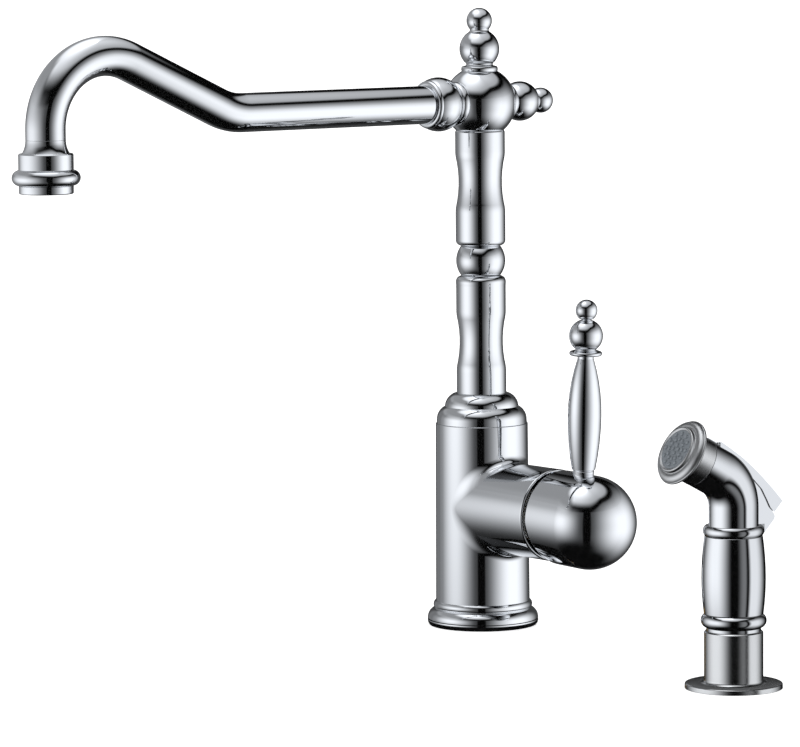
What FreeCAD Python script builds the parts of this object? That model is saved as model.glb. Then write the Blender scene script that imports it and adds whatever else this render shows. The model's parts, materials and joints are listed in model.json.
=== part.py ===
# Side spray kitchen faucet: a turned column with a swivelling gooseneck spout,
# a lever handle on a horizontal branch, and a hand spray standing in a holder.
# Millimetres, +Z up. The origin is the middle of the faucet's foot on the sink
# deck. The spout points along -Y and the handle's branch along +X.
import FreeCAD, Part
import math
import os

Vec = FreeCAD.Vector
ORIGIN = Vec(0, 0, 0)
UP = Vec(0, 0, 1)
DOWN = Vec(0, 0, -1)
SIDE = Vec(1, 0, 0)
FRONT = Vec(0, -1, 0)
BACK = Vec(0, 1, 0)

# ---------------------------------------------------------------- clearances
turn_gap = 0.05
slide_gap = 0.05
loose_gap = 0.5
axial_gap = 0.1

# ---------------------------------------------- deck, foot and clamping parts
deck_thickness = 30.0
foot_r = 31.3
foot_straight_h = 3.2
foot_bead_h = 9.7
foot_lip_r = 28.0
foot_h = 14.0
foot_gasket_r = 27.5
gasket_h = 1.5
body_spigot_r = 24.0
shank_r = 16.5
shank_wall = 2.3
shank_below_deck = 28.0
shank_seat_h = 15.0
washer_r = 28.0
rubber_washer_h = 3.0
steel_washer_h = 2.0
deck_nut_h = 10.0
deck_nut_flats = 44.0

# ------------------------------------------------------------------ the body
body_r = 26.6
body_top_r = 26.05
body_h = 100.8
body_edge = 0.35
upstand_r = 21.0
upstand_bore_r = 18.2
upstand_h = 6.0
port_thread_r = 4.55
port_thread_h = 12.0
port_circle_r = 7.4
duct_r = 3.0
diverter_bore_r = 8.5
diverter_bore_h = 16.0
diverter_wall = 2.5

# -------------------------------------------------------- bonnet and swivel
bonnet_inset = 0.5
bonnet_cylinder_h = 2.6
bonnet_shoulder_h = 9.4
bonnet_neck_r = 20.8
bonnet_crown_r = 15.4
bonnet_h = 17.3
glide_h = 1.0
spigot_r = 11.0
spigot_h = 22.0
swivel_flange_r = 17.9
o_ring_wire_r = 0.8
o_ring_heights = (6.0, 14.0)

# ------------------------------------------------------------------- column
column_r = 14.0
column_bore_r = 8.0
waist_r = 12.2
waist_h = 28.4
waist_edge_h = 1.0
lower_waist_up = 46.6
upper_waist_up = 136.4
lower_column_h = 83.5
neck_r = 10.9
shoulder_h = 3.9
shoulder_bulge = 1.2
upper_round_r = 3.0
ball_r = 13.85
ball_spigot_r = 9.0
ball_spigot_h = 8.0
ball_bore_r = 6.5

# -------------------------------------------------------------- hub, finials
hub_up = 180.8
hub_r = 20.4
hub_cavity_r = 7.5
hub_spigot_r = 11.0
hub_spigot_h = 3.0
finial_ring_r = 10.3
finial_ring_h = 2.8
finial_cove_r = 7.5
finial_ball_r = 11.2
finial_ball_h = 12.6
finial_ball_low = 7.6
finial_ball_high = 9.5
finial_neck_r = 5.35
finial_tip_r = 7.17
finial_tip_h = 28.4
finial_tip_low = 4.5
rear_ball_h = 11.6
rear_tip_h = 26.9
finial_stud_r = 4.0
finial_stud_h = 8.0

# -------------------------------------------------------------------- spout
collar_ring_r = 12.2
collar_ring_h = 3.2
collar_groove_r = 11.3
collar_bead_r = 15.0
collar_bead_end_r = 13.4
collar_bead_at = 11.6
collar_bead_end = 20.3
collar_h = 22.5
collar_spigot_r = 11.5
collar_spigot_h = 7.0
tube_r = 10.6
tube_wall = 1.2
spout_reach = 292.8
spout_rise_deg = 24.4
spout_bend_at = 174.5
spout_bend_r = 40.0
spout_crest_r = 37.7
outlet_drop = 38.2
aerator_ring_h = 4.2
aerator_ring_r = 14.35
aerator_thread_r = 11.5
aerator_thread_h = 7.0
aerator_screen_r = 9.8
aerator_washer_h = 2.0
bead_h = 8.4
bead_r = 18.05
shell_r = 14.5
shell_h = 8.6
flare_r = 12.5
flare_h = 7.0
outlet_spigot_h = 4.5
aerator_cavity_h = 14.0

# ------------------------------------------- branch, cartridge and handle
branch_drop = 46.4
branch_r = 25.7
branch_reach = 65.0
branch_lip = 1.2
branch_fillet_r = 5.0
mouth_r = 22.6
branch_root_gap = 0.4
nut_seat_depth = 12.5
cartridge_depth = 37.5
cartridge_r = 17.6
seal_h = 1.5
seal_wall = 1.8
cartridge_base_h = 4.5
cartridge_collar_r = 15.0
cartridge_collar_h = 4.0
cartridge_bore_r = 13.0
cartridge_lip_r = 10.5
cartridge_lip_h = 1.0
mixed_port_offset = 11.5
inlet_port_drop = 6.8
disc_h = 4.0
slide_disc_r = 9.4
cartridge_nut_r = 21.0
cartridge_nut_h = 5.0
pivot_depth = 16.0
pivot_pin_r = 1.45
stem_half = 4.0
stem_slot_half = 6.5
stem_reach = 15.8
finger_r = 2.0
finger_play = 0.6
handle_gap = 3.2
handle_rest_deg = 1.5
dome_r = 26.1
dome_straight_h = 25.0
dome_wall = 3.0
dome_back_h = 8.5
dome_neck_r = 15.5
dome_neck_h = 4.7
dome_relief_deg = 12.0
dome_edge = 1.0
dome_boss_r = 8.0
dome_boss_end = 3.0
dome_set_screw_in = 11.8
set_screw_r = 2.5
set_screw_h = 12.0
lever_in = 19.3
lever_lean_deg = 0.5
lever_foot_r = 6.3
lever_foot_h = 2.4
lever_groove_r = 5.6
lever_belly_r = 9.3
lever_belly_h = 32.6
lever_neck_r = 4.45
lever_neck_h = 64.4
lever_stud_r = 3.0
lever_stud_h = 8.0
knob_disc_r = 9.05
knob_disc_h = 2.6
knob_cove_r = 5.7
knob_ball_r = 9.33
knob_ball_h = 11.3
knob_neck_r = 2.7
knob_tip_r = 6.0
knob_tip_h = 25.3
knob_stud_r = 2.0
knob_stud_h = 7.0

# ------------------------------------------------------------ spray holder
spray_x = 250.4
spray_y = -36.8
spray_turn_deg = -7.0
flange_r = 25.5
flange_h = 2.8
holder_r = 15.4
holder_h = 30.0
holder_foot_r = 2.0
spray_shank_r = 13.2
spray_shank_wall = 1.8
spray_shank_seat_h = 8.0
spray_shank_below_deck = 18.0
liner_wall = 4.4
spray_gasket_r = 21.0
spray_washer_r = 22.0
spray_washer_h = 3.0
spray_nut_h = 9.0
spray_nut_flats = 34.0

# ---------------------------------------------------------------- hand spray
wand_spigot_r = 9.5
wand_spigot_h = 20.4
wand_throat_r = 14.2
wand_throat_h = 1.8
wand_bore_r = 8.6
grip_foot_r = 15.5
grip_belly_r = 16.7
grip_top_r = 15.15
grip_bead_r = 17.1
grip_bead_h = 6.9
grip_belly_h = 19.0
grip_h = 41.0
grip_ring_r = 15.9
grip_ring_h = 5.4
spray_neck_r = 12.9
spray_neck_bore_r = 8.0
spray_neck_root = 38.0
spray_bend_z = 94.8
spray_bend_r = 22.0
spray_tilt_deg = 28.0
spray_seam_run = 11.0
spray_collar_r = 13.0
spray_collar_h = 8.5
bell_r = 17.6
bell_h = 4.9
bell_face_r = 12.6
bell_face_h = 3.7
bell_shoulder = 1.6
nozzle_disc_r = 10.85
nozzle_disc_h = 2.6
nozzle_disc_inset = 0.4
nozzle_rings = ((4, 2.2), (12, 5.5), (12, 8.6))
nozzle_nub_r = 0.9
nozzle_nub_h = 0.9
coupling_r = 8.5
coupling_bore_r = 4.5
coupling_h = 15.0
coupling_nipple_r = 6.0
coupling_nipple_h = 40.0
clip_r = 9.1
clip_h = 1.2

# ------------------------------------------------- spray lever and its valve
trigger_half = 6.5
trigger_gap = 0.35
trigger_eye_r = 1.5
trigger_press_room = 1.0
trigger_pin_y = -11.8
trigger_pin_z = 128.6
trigger_pin_r = 0.8
housing_half = 5.4
valve_turn_deg = 30.0
valve_lift = 0.9
valve_stem_r = 1.4
valve_head_r = 1.9
valve_head_h = 1.0
valve_recess_h = 2.6
valve_length = 11.0

# Outlines in the plane of the hand spray, as (y, z).
housing_back = ((16.4, 80.5), (22.3, 86.8))
housing_corner = ((23.0, 88.7), (21.9, 90.6))
housing_top = ((17.4, 98.4), (7.5, 110.0), (0.0, 112.0))
lug_front = ((-20.5, 120.0), (-20.5, 131.4), (-18.9, 133.3), (-11.6, 130.0))
lug_back = ((-10.3, 129.5), (-10.1, 128.0), (-10.1, 120.0))
lever_back = ((-12.0, 129.9), (10.0, 113.3), (25.0, 97.6))
lever_tip = ((25.8, 96.4), (25.2, 95.1), (21.1, 92.0))
lever_under = ((19.4, 93.5), (13.8, 105.0), (2.0, 114.5), (-12.0, 120.0))
hollow_top = ((-16.0, 132.5), (-9.7, 132.5), (-9.7, 126.6))
hollow_back = ((9.2, 112.8), (23.4, 96.8), (23.7, 95.0))
hollow_under = ((25.7, 92.5), (20.0, 86.0), (0.0, 104.5), (-16.0, 118.0))

# ----------------------------------------------------------- worked-out levels
body_top = foot_h + body_h
branch_z = body_top - branch_drop
branch_root_x = body_r + branch_fillet_r + branch_root_gap
lower_waist_z = body_top + lower_waist_up
upper_waist_z = body_top + upper_waist_up
lower_column_top = body_top + lower_column_h
hub_z = body_top + hub_up
outlet_z = hub_z - outlet_drop
bonnet_r = body_top_r - bonnet_inset
bonnet_ledge = body_top + upstand_h
swivel_flange_z = body_top + glide_h
swivel_flange_top = bonnet_ledge - glide_h - axial_gap
spigot_bottom = body_top - spigot_h
spigot_bore_bottom = spigot_bottom - axial_gap
diverter_bottom = spigot_bore_bottom - diverter_bore_h
cage_bottom = branch_z + mixed_port_offset + duct_r + axial_gap
ball_z = lower_column_top + math.sqrt(ball_r ** 2 - neck_r ** 2)
upper_column_bottom = 2 * ball_z - lower_column_top
upper_column_top = hub_z - math.sqrt(hub_r ** 2 - column_r ** 2)
finial_seat = math.sqrt(hub_r ** 2 - finial_ring_r ** 2)
collar_seat = math.sqrt(hub_r ** 2 - collar_ring_r ** 2)
cartridge_floor = branch_reach - cartridge_depth
cartridge_shoulder = branch_reach - nut_seat_depth
mouth_floor = cartridge_shoulder + cartridge_nut_h
pivot_x = branch_reach - pivot_depth
cartridge_base = cartridge_floor + seal_h
disc_seat = cartridge_base + cartridge_base_h
slide_seat = disc_seat + disc_h
carrier_back = slide_seat + disc_h + axial_gap
carrier_front = cartridge_shoulder + cartridge_collar_h - cartridge_lip_h - axial_gap
dome_back = branch_reach + handle_gap
dome_centre_x = dome_back + dome_straight_h
dome_floor = dome_back + dome_back_h
dome_set_screw_x = dome_back + dome_set_screw_in
stem_end = dome_back + stem_reach
lever_x = dome_back + lever_in
finger_arm = pivot_x - slide_seat - disc_h / 2
disc_rest_shift = finger_arm * math.sin(math.radians(handle_rest_deg))
outlet_bead_z = outlet_z + aerator_ring_h
shell_z = outlet_bead_z + bead_h
outlet_flare_z = shell_z + shell_h
tube_end_z = outlet_flare_z + flare_h
spray_axis = Vec(spray_x, spray_y, 0)
grip_z = holder_h + wand_throat_h
grip_top = grip_z + grip_bead_h + grip_h
tilt = math.radians(spray_tilt_deg)
HEAD = Vec(0, -math.cos(tilt), math.sin(tilt))
across_head = Vec(0, math.sin(tilt), math.cos(tilt))


# ------------------------------------------------------------------- helpers
def turned(steps, base=ORIGIN, direction=UP):
    """Solid turned round an axis. A step is a corner (radius, height), or an arc
    (radius, height through which it bends, radius, height where it ends)."""
    start = Vec(steps[0][0], 0, steps[0][1])
    here = start
    edges = []
    for step in steps[1:]:
        end = Vec(step[-2], 0, step[-1])
        if len(step) == 4:
            edges.append(Part.Arc(here, Vec(step[0], 0, step[1]), end).toShape())
        else:
            edges.append(Part.makeLine(here, end))
        here = end
    edges.append(Part.makeLine(here, start))
    solid = Part.Face(Part.Wire(edges)).revolve(ORIGIN, UP, 360)
    return placed(solid, base, direction)


def placed(shape, base, direction):
    """The shape with its +Z turned to a direction and its origin moved to base."""
    moved = shape.copy()
    moved.Placement = FreeCAD.Placement(base, FreeCAD.Rotation(UP, direction))
    return moved


def rod(radius, low, high, base=ORIGIN, direction=UP):
    """Cylinder between two distances from base along a direction."""
    return Part.makeCylinder(radius, high - low, base + direction * low, direction)


def ring(inner, outer, low, high, base=ORIGIN, direction=UP):
    """Plain tube between two distances from base along a direction."""
    return rod(outer, low, high, base, direction).cut(rod(inner, low, high, base, direction))


def hex_nut(flats, bore, low, high):
    """Hexagon nut on the Z axis, with the corners turned down at both faces."""
    corner_r = flats / math.sqrt(3)
    turns = [math.radians(60 * side) for side in range(7)]
    corners = [Vec(corner_r * math.cos(a), corner_r * math.sin(a), low) for a in turns]
    prism = Part.Face(Part.makePolygon(corners)).extrude(UP * (high - low))
    drop = corner_r - flats / 2
    blank = turned([(0, low), (flats / 2, low), (corner_r, low + drop),
                    (corner_r, high - drop), (flats / 2, high), (0, high)])
    return prism.common(blank).cut(rod(bore, low, high))


def on_circle(radius, height):
    """Radius of a ball of a given radius, at a height from its middle."""
    return math.sqrt(radius ** 2 - height ** 2)


def swell(end_r, end_h, peak_r, peak_h):
    """Point half way along the arc from an end to a peak where it runs upright."""
    rise = abs(end_h - peak_h)
    depth = abs(peak_r - end_r)
    radius = (rise ** 2 + depth ** 2) / (2 * depth)
    sagitta = radius - math.sqrt(radius ** 2 - (rise / 2) ** 2)
    inward = math.copysign(sagitta, end_r - peak_r)
    return peak_r + inward, (end_h + peak_h) / 2


def waist(middle):
    """Steps of the drawn-in waist of a column, upwards."""
    low = middle - waist_h / 2
    high = middle + waist_h / 2
    edge_r = column_r - 0.15 * (column_r - waist_r)
    return [(column_r, low - waist_edge_h), (edge_r, low),
            (waist_r, middle, edge_r, high), (column_r, high + waist_edge_h)]


def swept(radius, path):
    """Round bar along a path that starts level or upright."""
    first = path.Edges[0]
    start = first.valueAt(first.FirstParameter)
    direction = first.tangentAt(first.FirstParameter)
    section = Part.Wire(Part.makeCircle(radius, start, direction))
    return path.makePipeShell([section], True, False)


def sheet(points, half_width):
    """Plate between -half_width and +half_width in X. Its outline runs through
    corners Vec(0, y, z); a pair (through, end) is an arc."""
    edges = []
    here = points[0]
    for point in points[1:] + [points[0]]:
        if isinstance(point, tuple):
            edges.append(Part.Arc(here, point[0], point[1]).toShape())
            here = point[1]
        else:
            edges.append(Part.makeLine(here, point))
            here = point
    face = Part.Face(Part.Wire(edges))
    face.translate(SIDE * -half_width)
    return face.extrude(SIDE * (2 * half_width))


def yz(y, z):
    """Point in the plane of the spout or of the hand spray."""
    return Vec(0, y, z)


def arc(via, end):
    """Arc of an outline through one (y, z) point to another."""
    return yz(*via), yz(*end)


# ------------------------------------------------------------- foot and deck
def base_ring():
    """Turned foot ring: a large bead under a small one."""
    bead_via = (foot_r - 0.75, (foot_straight_h + foot_bead_h) / 2 + 0.6)
    lip_mid = (foot_bead_h + foot_h) / 2
    return turned([(foot_gasket_r, 0), (foot_r, 0), (foot_r, foot_straight_h),
                   bead_via + (foot_lip_r - 0.6, foot_bead_h),
                   (foot_lip_r, lip_mid, foot_lip_r - 1.2, foot_h),
                   (body_spigot_r, foot_h), (body_spigot_r, gasket_h),
                   (foot_gasket_r, gasket_h)])


def base_gasket():
    return ring(body_spigot_r, foot_gasket_r, 0, gasket_h)


def mounting_shank():
    bottom = -deck_thickness - shank_below_deck
    return ring(shank_r - shank_wall, shank_r, bottom, shank_seat_h)


def shank_rubber_washer():
    top = -deck_thickness
    return ring(shank_r + loose_gap, washer_r, top - rubber_washer_h, top)


def shank_steel_washer():
    top = -deck_thickness - rubber_washer_h
    return ring(shank_r + loose_gap, washer_r, top - steel_washer_h, top)


def mounting_nut():
    top = -deck_thickness - rubber_washer_h - steel_washer_h
    return hex_nut(deck_nut_flats, shank_r, top - deck_nut_h, top)


# ---------------------------------------------------------------------- body
def port_place(turn_deg):
    turn = math.radians(turn_deg)
    return Vec(port_circle_r * math.cos(turn), port_circle_r * math.sin(turn), 0)


def body_casting():
    """Upright barrel with its filleted branch, chambers and waterways."""
    barrel = turned([(0, gasket_h), (body_spigot_r, gasket_h), (body_spigot_r, foot_h),
                     (body_r, foot_h), (body_top_r, body_top - body_edge),
                     (body_top_r - body_edge, body_top), (upstand_r, body_top),
                     (upstand_r, bonnet_ledge), (0, bonnet_ledge)])
    lip = branch_lip * (1 - math.sqrt(0.5))
    branch = turned([(0, 0), (branch_r, 0), (branch_r, branch_reach - branch_lip),
                     (branch_r - lip, branch_reach - lip,
                      branch_r - branch_lip, branch_reach), (0, branch_reach)],
                    UP * branch_z, SIDE)
    body = barrel.fuse(branch)
    seams = [edge for edge in body.Edges if edge.Curve.TypeId.endswith("BSplineCurve")]
    body = body.makeFillet(branch_fillet_r, seams)
    for bore in body_chambers() + body_ducts():
        body = body.cut(bore)
    return body


def between(shape, low_x, high_x):
    """The part of a shape between two planes across the branch."""
    far = 2 * body_top
    slab = Part.makeBox(high_x - low_x, far, far, Vec(low_x, -far / 2, -far / 4))
    return shape.common(slab)


def valve_body():
    return between(body_casting(), -2 * body_r, branch_root_x)


def valve_branch():
    """Branch tube that holds the cartridge and its nut."""
    return between(body_casting(), branch_root_x, mouth_floor)


def branch_ring():
    """Rounded end of the branch, round the handle's neck."""
    return between(body_casting(), mouth_floor, 2 * branch_reach)


def body_chambers():
    """Shank thread, swivel bore, diverter bore and the cartridge's stepped bore."""
    axis = UP * branch_z
    return [rod(shank_r, gasket_h, shank_seat_h),
            rod(upstand_bore_r, body_top, bonnet_ledge),
            rod(spigot_r + turn_gap, spigot_bore_bottom, body_top),
            rod(diverter_bore_r, diverter_bottom, spigot_bore_bottom),
            rod(cartridge_r, cartridge_floor, cartridge_shoulder, axis, SIDE),
            rod(cartridge_nut_r, cartridge_shoulder, mouth_floor, axis, SIDE),
            rod(mouth_r, mouth_floor, branch_reach, axis, SIDE)]


def body_ducts():
    """Hot, cold and mixed ways between the ports and the cartridge, and the
    spray's own feed from the diverter."""
    ducts = []
    inlet_z = branch_z - inlet_port_drop
    for turn_deg in (60, -60):
        place = port_place(turn_deg)
        ducts.append(rod(port_thread_r, shank_seat_h, shank_seat_h + port_thread_h, place))
        ducts.append(rod(duct_r, shank_seat_h, inlet_z, place))
        ducts.append(rod(duct_r, 0, cartridge_floor - place.x, place + UP * inlet_z, SIDE))
    feed = port_place(180)
    ducts.append(rod(port_thread_r, shank_seat_h, shank_seat_h + port_thread_h, feed))
    ducts.append(rod(duct_r / 2, shank_seat_h, diverter_bottom, feed))
    mixed = UP * (branch_z + mixed_port_offset)
    ducts.append(rod(duct_r, 0, cartridge_floor, mixed, SIDE))
    return ducts


def diverter_cage():
    """Seat ring of the diverter, under the spout's foot."""
    return ring(diverter_bore_r - diverter_wall, diverter_bore_r, cage_bottom, spigot_bore_bottom)


def diverter_spool():
    """Loose spool that the water lifts in the cage, with a guide pin on top."""
    low = cage_bottom + loose_gap
    head = low + 2.0
    return turned([(0, low), (diverter_bore_r - diverter_wall - turn_gap, low),
                   (diverter_bore_r - diverter_wall - turn_gap, head), (duct_r / 2, head),
                   (duct_r / 2, head + 2.5), (0, head + 2.5)])


# --------------------------------------------------------- bonnet and column
def bonnet():
    """Turned nut that holds the spout's foot down on the body."""
    step_z = body_top + bonnet_shoulder_h
    via_r = (bonnet_r + bonnet_neck_r) / 2 + 1.1
    crown_via = ((bonnet_neck_r + bonnet_crown_r) / 2 + 1.4, body_top + 13.7)
    bore = column_r + turn_gap
    return turned([(upstand_r, body_top), (bonnet_r, body_top),
                   (bonnet_r - 0.15, body_top + bonnet_cylinder_h),
                   (via_r, body_top + 6.4, bonnet_neck_r + 0.3, step_z),
                   (bonnet_neck_r, step_z + 0.2),
                   crown_via + (bonnet_crown_r, body_top + bonnet_h - 0.3),
                   (bore, body_top + bonnet_h), (bore, bonnet_ledge),
                   (upstand_r, bonnet_ledge)])


def glide_rings():
    """Rings under and over the column's flange that the spout turns on."""
    lower = ring(spigot_r + loose_gap, upstand_bore_r, body_top, swivel_flange_z)
    upper = ring(column_r + loose_gap, upstand_bore_r, bonnet_ledge - glide_h, bonnet_ledge)
    return Part.makeCompound([lower, upper])


def column_lower():
    """Lower column: sealed spigot, swivel flange, waist and shoulder."""
    steps = [(column_bore_r, spigot_bottom), (spigot_r, spigot_bottom)]
    groove = o_ring_wire_r
    for height in o_ring_heights:
        middle = spigot_bottom + height
        steps.append((spigot_r, middle - groove))
        steps.append((spigot_r - 2 * groove, middle - groove))
        steps.append((spigot_r - 2 * groove, middle + groove))
        steps.append((spigot_r, middle + groove))
    steps += [(spigot_r, swivel_flange_z + axial_gap),
              (swivel_flange_r, swivel_flange_z + axial_gap),
              (swivel_flange_r, swivel_flange_top), (column_r, swivel_flange_top)]
    steps += waist(lower_waist_z)
    top = lower_column_top
    via_r = (column_r + neck_r) / 2 + shoulder_bulge * math.sqrt(0.5)
    via_z = top - shoulder_h / 2 + shoulder_bulge * math.sqrt(0.5)
    steps += [(column_r, top - shoulder_h), (via_r, via_z, neck_r, top),
              (ball_spigot_r, top), (ball_spigot_r, top - ball_spigot_h),
              (column_bore_r, top - ball_spigot_h)]
    return turned(steps)


def spigot_o_rings():
    middle_r = spigot_r - o_ring_wire_r
    rings = [Part.makeTorus(middle_r, o_ring_wire_r, UP * (spigot_bottom + height))
             for height in o_ring_heights]
    return Part.makeCompound(rings)


def column_ball():
    """Ball between two grooves, with a spigot into each column."""
    low = lower_column_top
    high = upper_column_bottom
    return turned([(ball_bore_r, low - ball_spigot_h), (ball_spigot_r, low - ball_spigot_h),
                   (ball_spigot_r, low), (neck_r, low), (ball_r, ball_z, neck_r, high),
                   (ball_spigot_r, high), (ball_spigot_r, high + ball_spigot_h),
                   (ball_bore_r, high + ball_spigot_h)])


def column_upper():
    """Upper column, with a rounded foot and a spigot into the hub."""
    low = upper_column_bottom
    round_via = upper_round_r * (1 - math.sqrt(0.5))
    inner = column_r - upper_round_r
    steps = [(ball_spigot_r, low), (inner, low),
             (column_r - round_via, low + round_via, column_r, low + upper_round_r)]
    steps += waist(upper_waist_z)
    steps += [(column_r, upper_column_top), (hub_spigot_r, upper_column_top),
              (hub_spigot_r, upper_column_top + hub_spigot_h),
              (column_bore_r, upper_column_top + hub_spigot_h),
              (column_bore_r, low + ball_spigot_h), (ball_spigot_r, low + ball_spigot_h)]
    return turned(steps)


# ------------------------------------------------------------ hub and finials
def spout_hub():
    """Ball hub with a spot face for each finial and for the spout's collar."""
    middle = UP * hub_z
    hub = Part.makeSphere(hub_r, middle)
    far = 2 * hub_r
    hub = hub.cut(rod(far, hub_z - upper_column_top, far, middle, DOWN))
    hub = hub.cut(rod(hub_spigot_r, hub_z - upper_column_top - hub_spigot_h, far, middle, DOWN))
    hub = hub.cut(rod(hub_cavity_r, 0, far, middle, DOWN))
    hub = hub.cut(Part.makeSphere(hub_cavity_r, middle))
    for direction in (UP, BACK):
        hub = hub.cut(rod(finial_ring_r, finial_seat, far, middle, direction))
        hub = hub.cut(rod(finial_stud_r, finial_seat - finial_stud_h, far, middle, direction))
    hub = hub.cut(rod(collar_ring_r, collar_seat, far, middle, FRONT))
    hub = hub.cut(rod(collar_spigot_r, collar_seat - collar_spigot_h, far, middle, FRONT))
    return hub.cut(rod(hub_cavity_r, 0, far, middle, FRONT))


def finial(direction, ball_at, tip_at):
    """Turned finial: ring, cove, large ball, neck and small ball on a stud."""
    ring_end = finial_ring_r - 0.45
    ball_low = ball_at - finial_ball_low
    ball_high = ball_at + finial_ball_high
    tip_low = tip_at - finial_tip_low
    cove_low = finial_ring_h + 0.6
    steps = [(0, -finial_stud_h), (finial_stud_r, -finial_stud_h), (finial_stud_r, 0),
             (finial_ring_r - 0.3, 0),
             (finial_ring_r, finial_ring_h / 2, ring_end, finial_ring_h),
             (finial_cove_r + 0.2, cove_low),
             (finial_cove_r, (cove_low + ball_low) / 2,
              on_circle(finial_ball_r, finial_ball_low), ball_low),
             (finial_ball_r, ball_at, on_circle(finial_ball_r, finial_ball_high), ball_high),
             (finial_neck_r, (ball_high + tip_low) / 2,
              on_circle(finial_tip_r, finial_tip_low), tip_low),
             (finial_tip_r, tip_at, 0, tip_at + finial_tip_r)]
    return turned(steps, UP * hub_z + direction * finial_seat, direction)


# --------------------------------------------------------------------- spout
def spout_collar():
    """Turned collar that carries the spout's tube on the hub."""
    bead_low = collar_ring_h + 1.1
    lip_via = (collar_bead_end_r - 0.6, collar_h - 0.5)
    steps = [(hub_cavity_r, -collar_spigot_h), (collar_spigot_r, -collar_spigot_h),
             (collar_spigot_r, 0), (collar_ring_r - 0.3, 0),
             (collar_ring_r, collar_ring_h / 2, collar_ring_r - 0.5, collar_ring_h),
             (collar_groove_r, collar_ring_h + 0.6), (collar_groove_r + 0.3, bead_low),
             (collar_bead_r, collar_bead_at, collar_bead_end_r, collar_bead_end),
             lip_via + (tube_r + 0.7, collar_h), (tube_r, collar_h), (tube_r, collar_ring_h),
             (hub_cavity_r, collar_ring_h)]
    return turned(steps, UP * hub_z + FRONT * collar_seat, FRONT)


def spout_path():
    """Centre line of the spout's tube: level, rising, over the crest and down."""
    rise = math.radians(spout_rise_deg)
    slope = Vec(0, -math.cos(rise), math.sin(rise))
    normal = Vec(0, math.sin(rise), math.cos(rise))
    start = yz(-collar_seat - collar_ring_h, hub_z)
    corner = yz(-spout_bend_at, hub_z)
    run = spout_bend_r * math.tan(rise / 2)
    bend_in = corner + BACK * run
    bend_out = corner + slope * run
    half = rise / 2
    sink = spout_bend_r * (1 - math.cos(half))
    side = spout_bend_r * math.sin(half)
    bend_mid = bend_in + FRONT * side + UP * sink
    crest_y = -spout_reach + spout_crest_r
    rise_z = hub_z + math.tan(rise) * (-crest_y - spout_bend_at)
    crest = yz(crest_y, rise_z - spout_crest_r / math.cos(rise))
    crest_in = crest + normal * spout_crest_r
    over = math.pi / 4 - rise / 2
    crest_mid = crest + yz(-math.sin(over), math.cos(over)) * spout_crest_r
    crest_out = crest + FRONT * spout_crest_r
    end = yz(-spout_reach, tube_end_z)
    return Part.Wire([Part.makeLine(start, bend_in),
                      Part.Arc(bend_in, bend_mid, bend_out).toShape(),
                      Part.makeLine(bend_out, crest_in),
                      Part.Arc(crest_in, crest_mid, crest_out).toShape(),
                      Part.makeLine(crest_out, end)])


def spout_tube():
    path = spout_path()
    return swept(tube_r, path).cut(swept(tube_r - tube_wall, path))


def spout_outlet():
    """Flared end of the spout with its straight shell and large bead."""
    inner = tube_r - tube_wall
    bore = inner - 1.4
    flare_via = (tube_r + 0.45, outlet_flare_z + 0.5 * flare_h)
    cavity_top = outlet_bead_z + aerator_cavity_h
    bead_low = outlet_bead_z + 0.15
    return turned([(aerator_thread_r, outlet_bead_z), (shell_r - 0.2, outlet_bead_z),
                   (shell_r - 0.1, bead_low), (bead_r, outlet_bead_z + bead_h / 2, shell_r, shell_z),
                   (shell_r, outlet_flare_z - 0.6), (shell_r - 0.5, outlet_flare_z),
                   (flare_r, outlet_flare_z + 0.1), flare_via + (tube_r, tube_end_z),
                   (inner, tube_end_z), (inner, tube_end_z + outlet_spigot_h),
                   (bore, tube_end_z + outlet_spigot_h), (bore, cavity_top),
                   (aerator_thread_r, cavity_top)], yz(-spout_reach, 0))


def aerator_ring():
    """Screwed ring under the bead that holds the flow screen."""
    top = outlet_bead_z
    return turned([(aerator_screen_r - 0.8, outlet_z), (aerator_ring_r - 0.8, outlet_z),
                   (aerator_ring_r - 0.25, outlet_z + 0.25, aerator_ring_r, outlet_z + 0.8),
                   (aerator_ring_r, top), (aerator_thread_r, top),
                   (aerator_thread_r, top + aerator_thread_h),
                   (aerator_screen_r, top + aerator_thread_h),
                   (aerator_screen_r, outlet_z + 1.0),
                   (aerator_screen_r - 0.8, outlet_z + 1.0)], yz(-spout_reach, 0))


def aerator_screen():
    """Flow straightener: a cup whose floor is open between concentric rings."""
    low = outlet_z + 1.0
    high = outlet_bead_z + aerator_thread_h
    base = yz(-spout_reach, 0)
    body = ring(aerator_screen_r - 1.0, aerator_screen_r, low, high, base)
    body = body.fuse(ring(aerator_screen_r - 3.2, aerator_screen_r - 2.4, low, low + 4, base))
    body = body.fuse(ring(aerator_screen_r - 5.6, aerator_screen_r - 4.8, low, low + 4, base))
    body = body.fuse(rod(1.6, low, low + 4, base))
    for spoke in range(3):
        turn = FreeCAD.Rotation(UP, 60 * spoke)
        bar = Part.makeBox(2 * aerator_screen_r - 1.0, 0.8, 3.0,
                           Vec(-aerator_screen_r + 0.5, -0.4, 0))
        bar.Placement = FreeCAD.Placement(base + UP * (low + 0.5), turn)
        body = body.fuse(bar)
    return body.removeSplitter()


def aerator_washer():
    low = outlet_bead_z + aerator_thread_h
    base = yz(-spout_reach, 0)
    return ring(aerator_screen_r - 2.4, aerator_thread_r, low, low + aerator_washer_h, base)


# ------------------------------------------------------------------ cartridge
def port_offsets():
    """Middles of the cartridge's three ports across its axis, as seen along +X."""
    side = port_place(60).y
    return [Vec(0, side, -inlet_port_drop), Vec(0, -side, -inlet_port_drop),
            Vec(0, 0, mixed_port_offset)]


def cartridge_axis():
    return UP * branch_z


def cartridge_seals():
    rings = [ring(duct_r, duct_r + seal_wall, cartridge_floor, cartridge_base,
                  cartridge_axis() + offset, SIDE) for offset in port_offsets()]
    return Part.makeCompound(rings)


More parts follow.
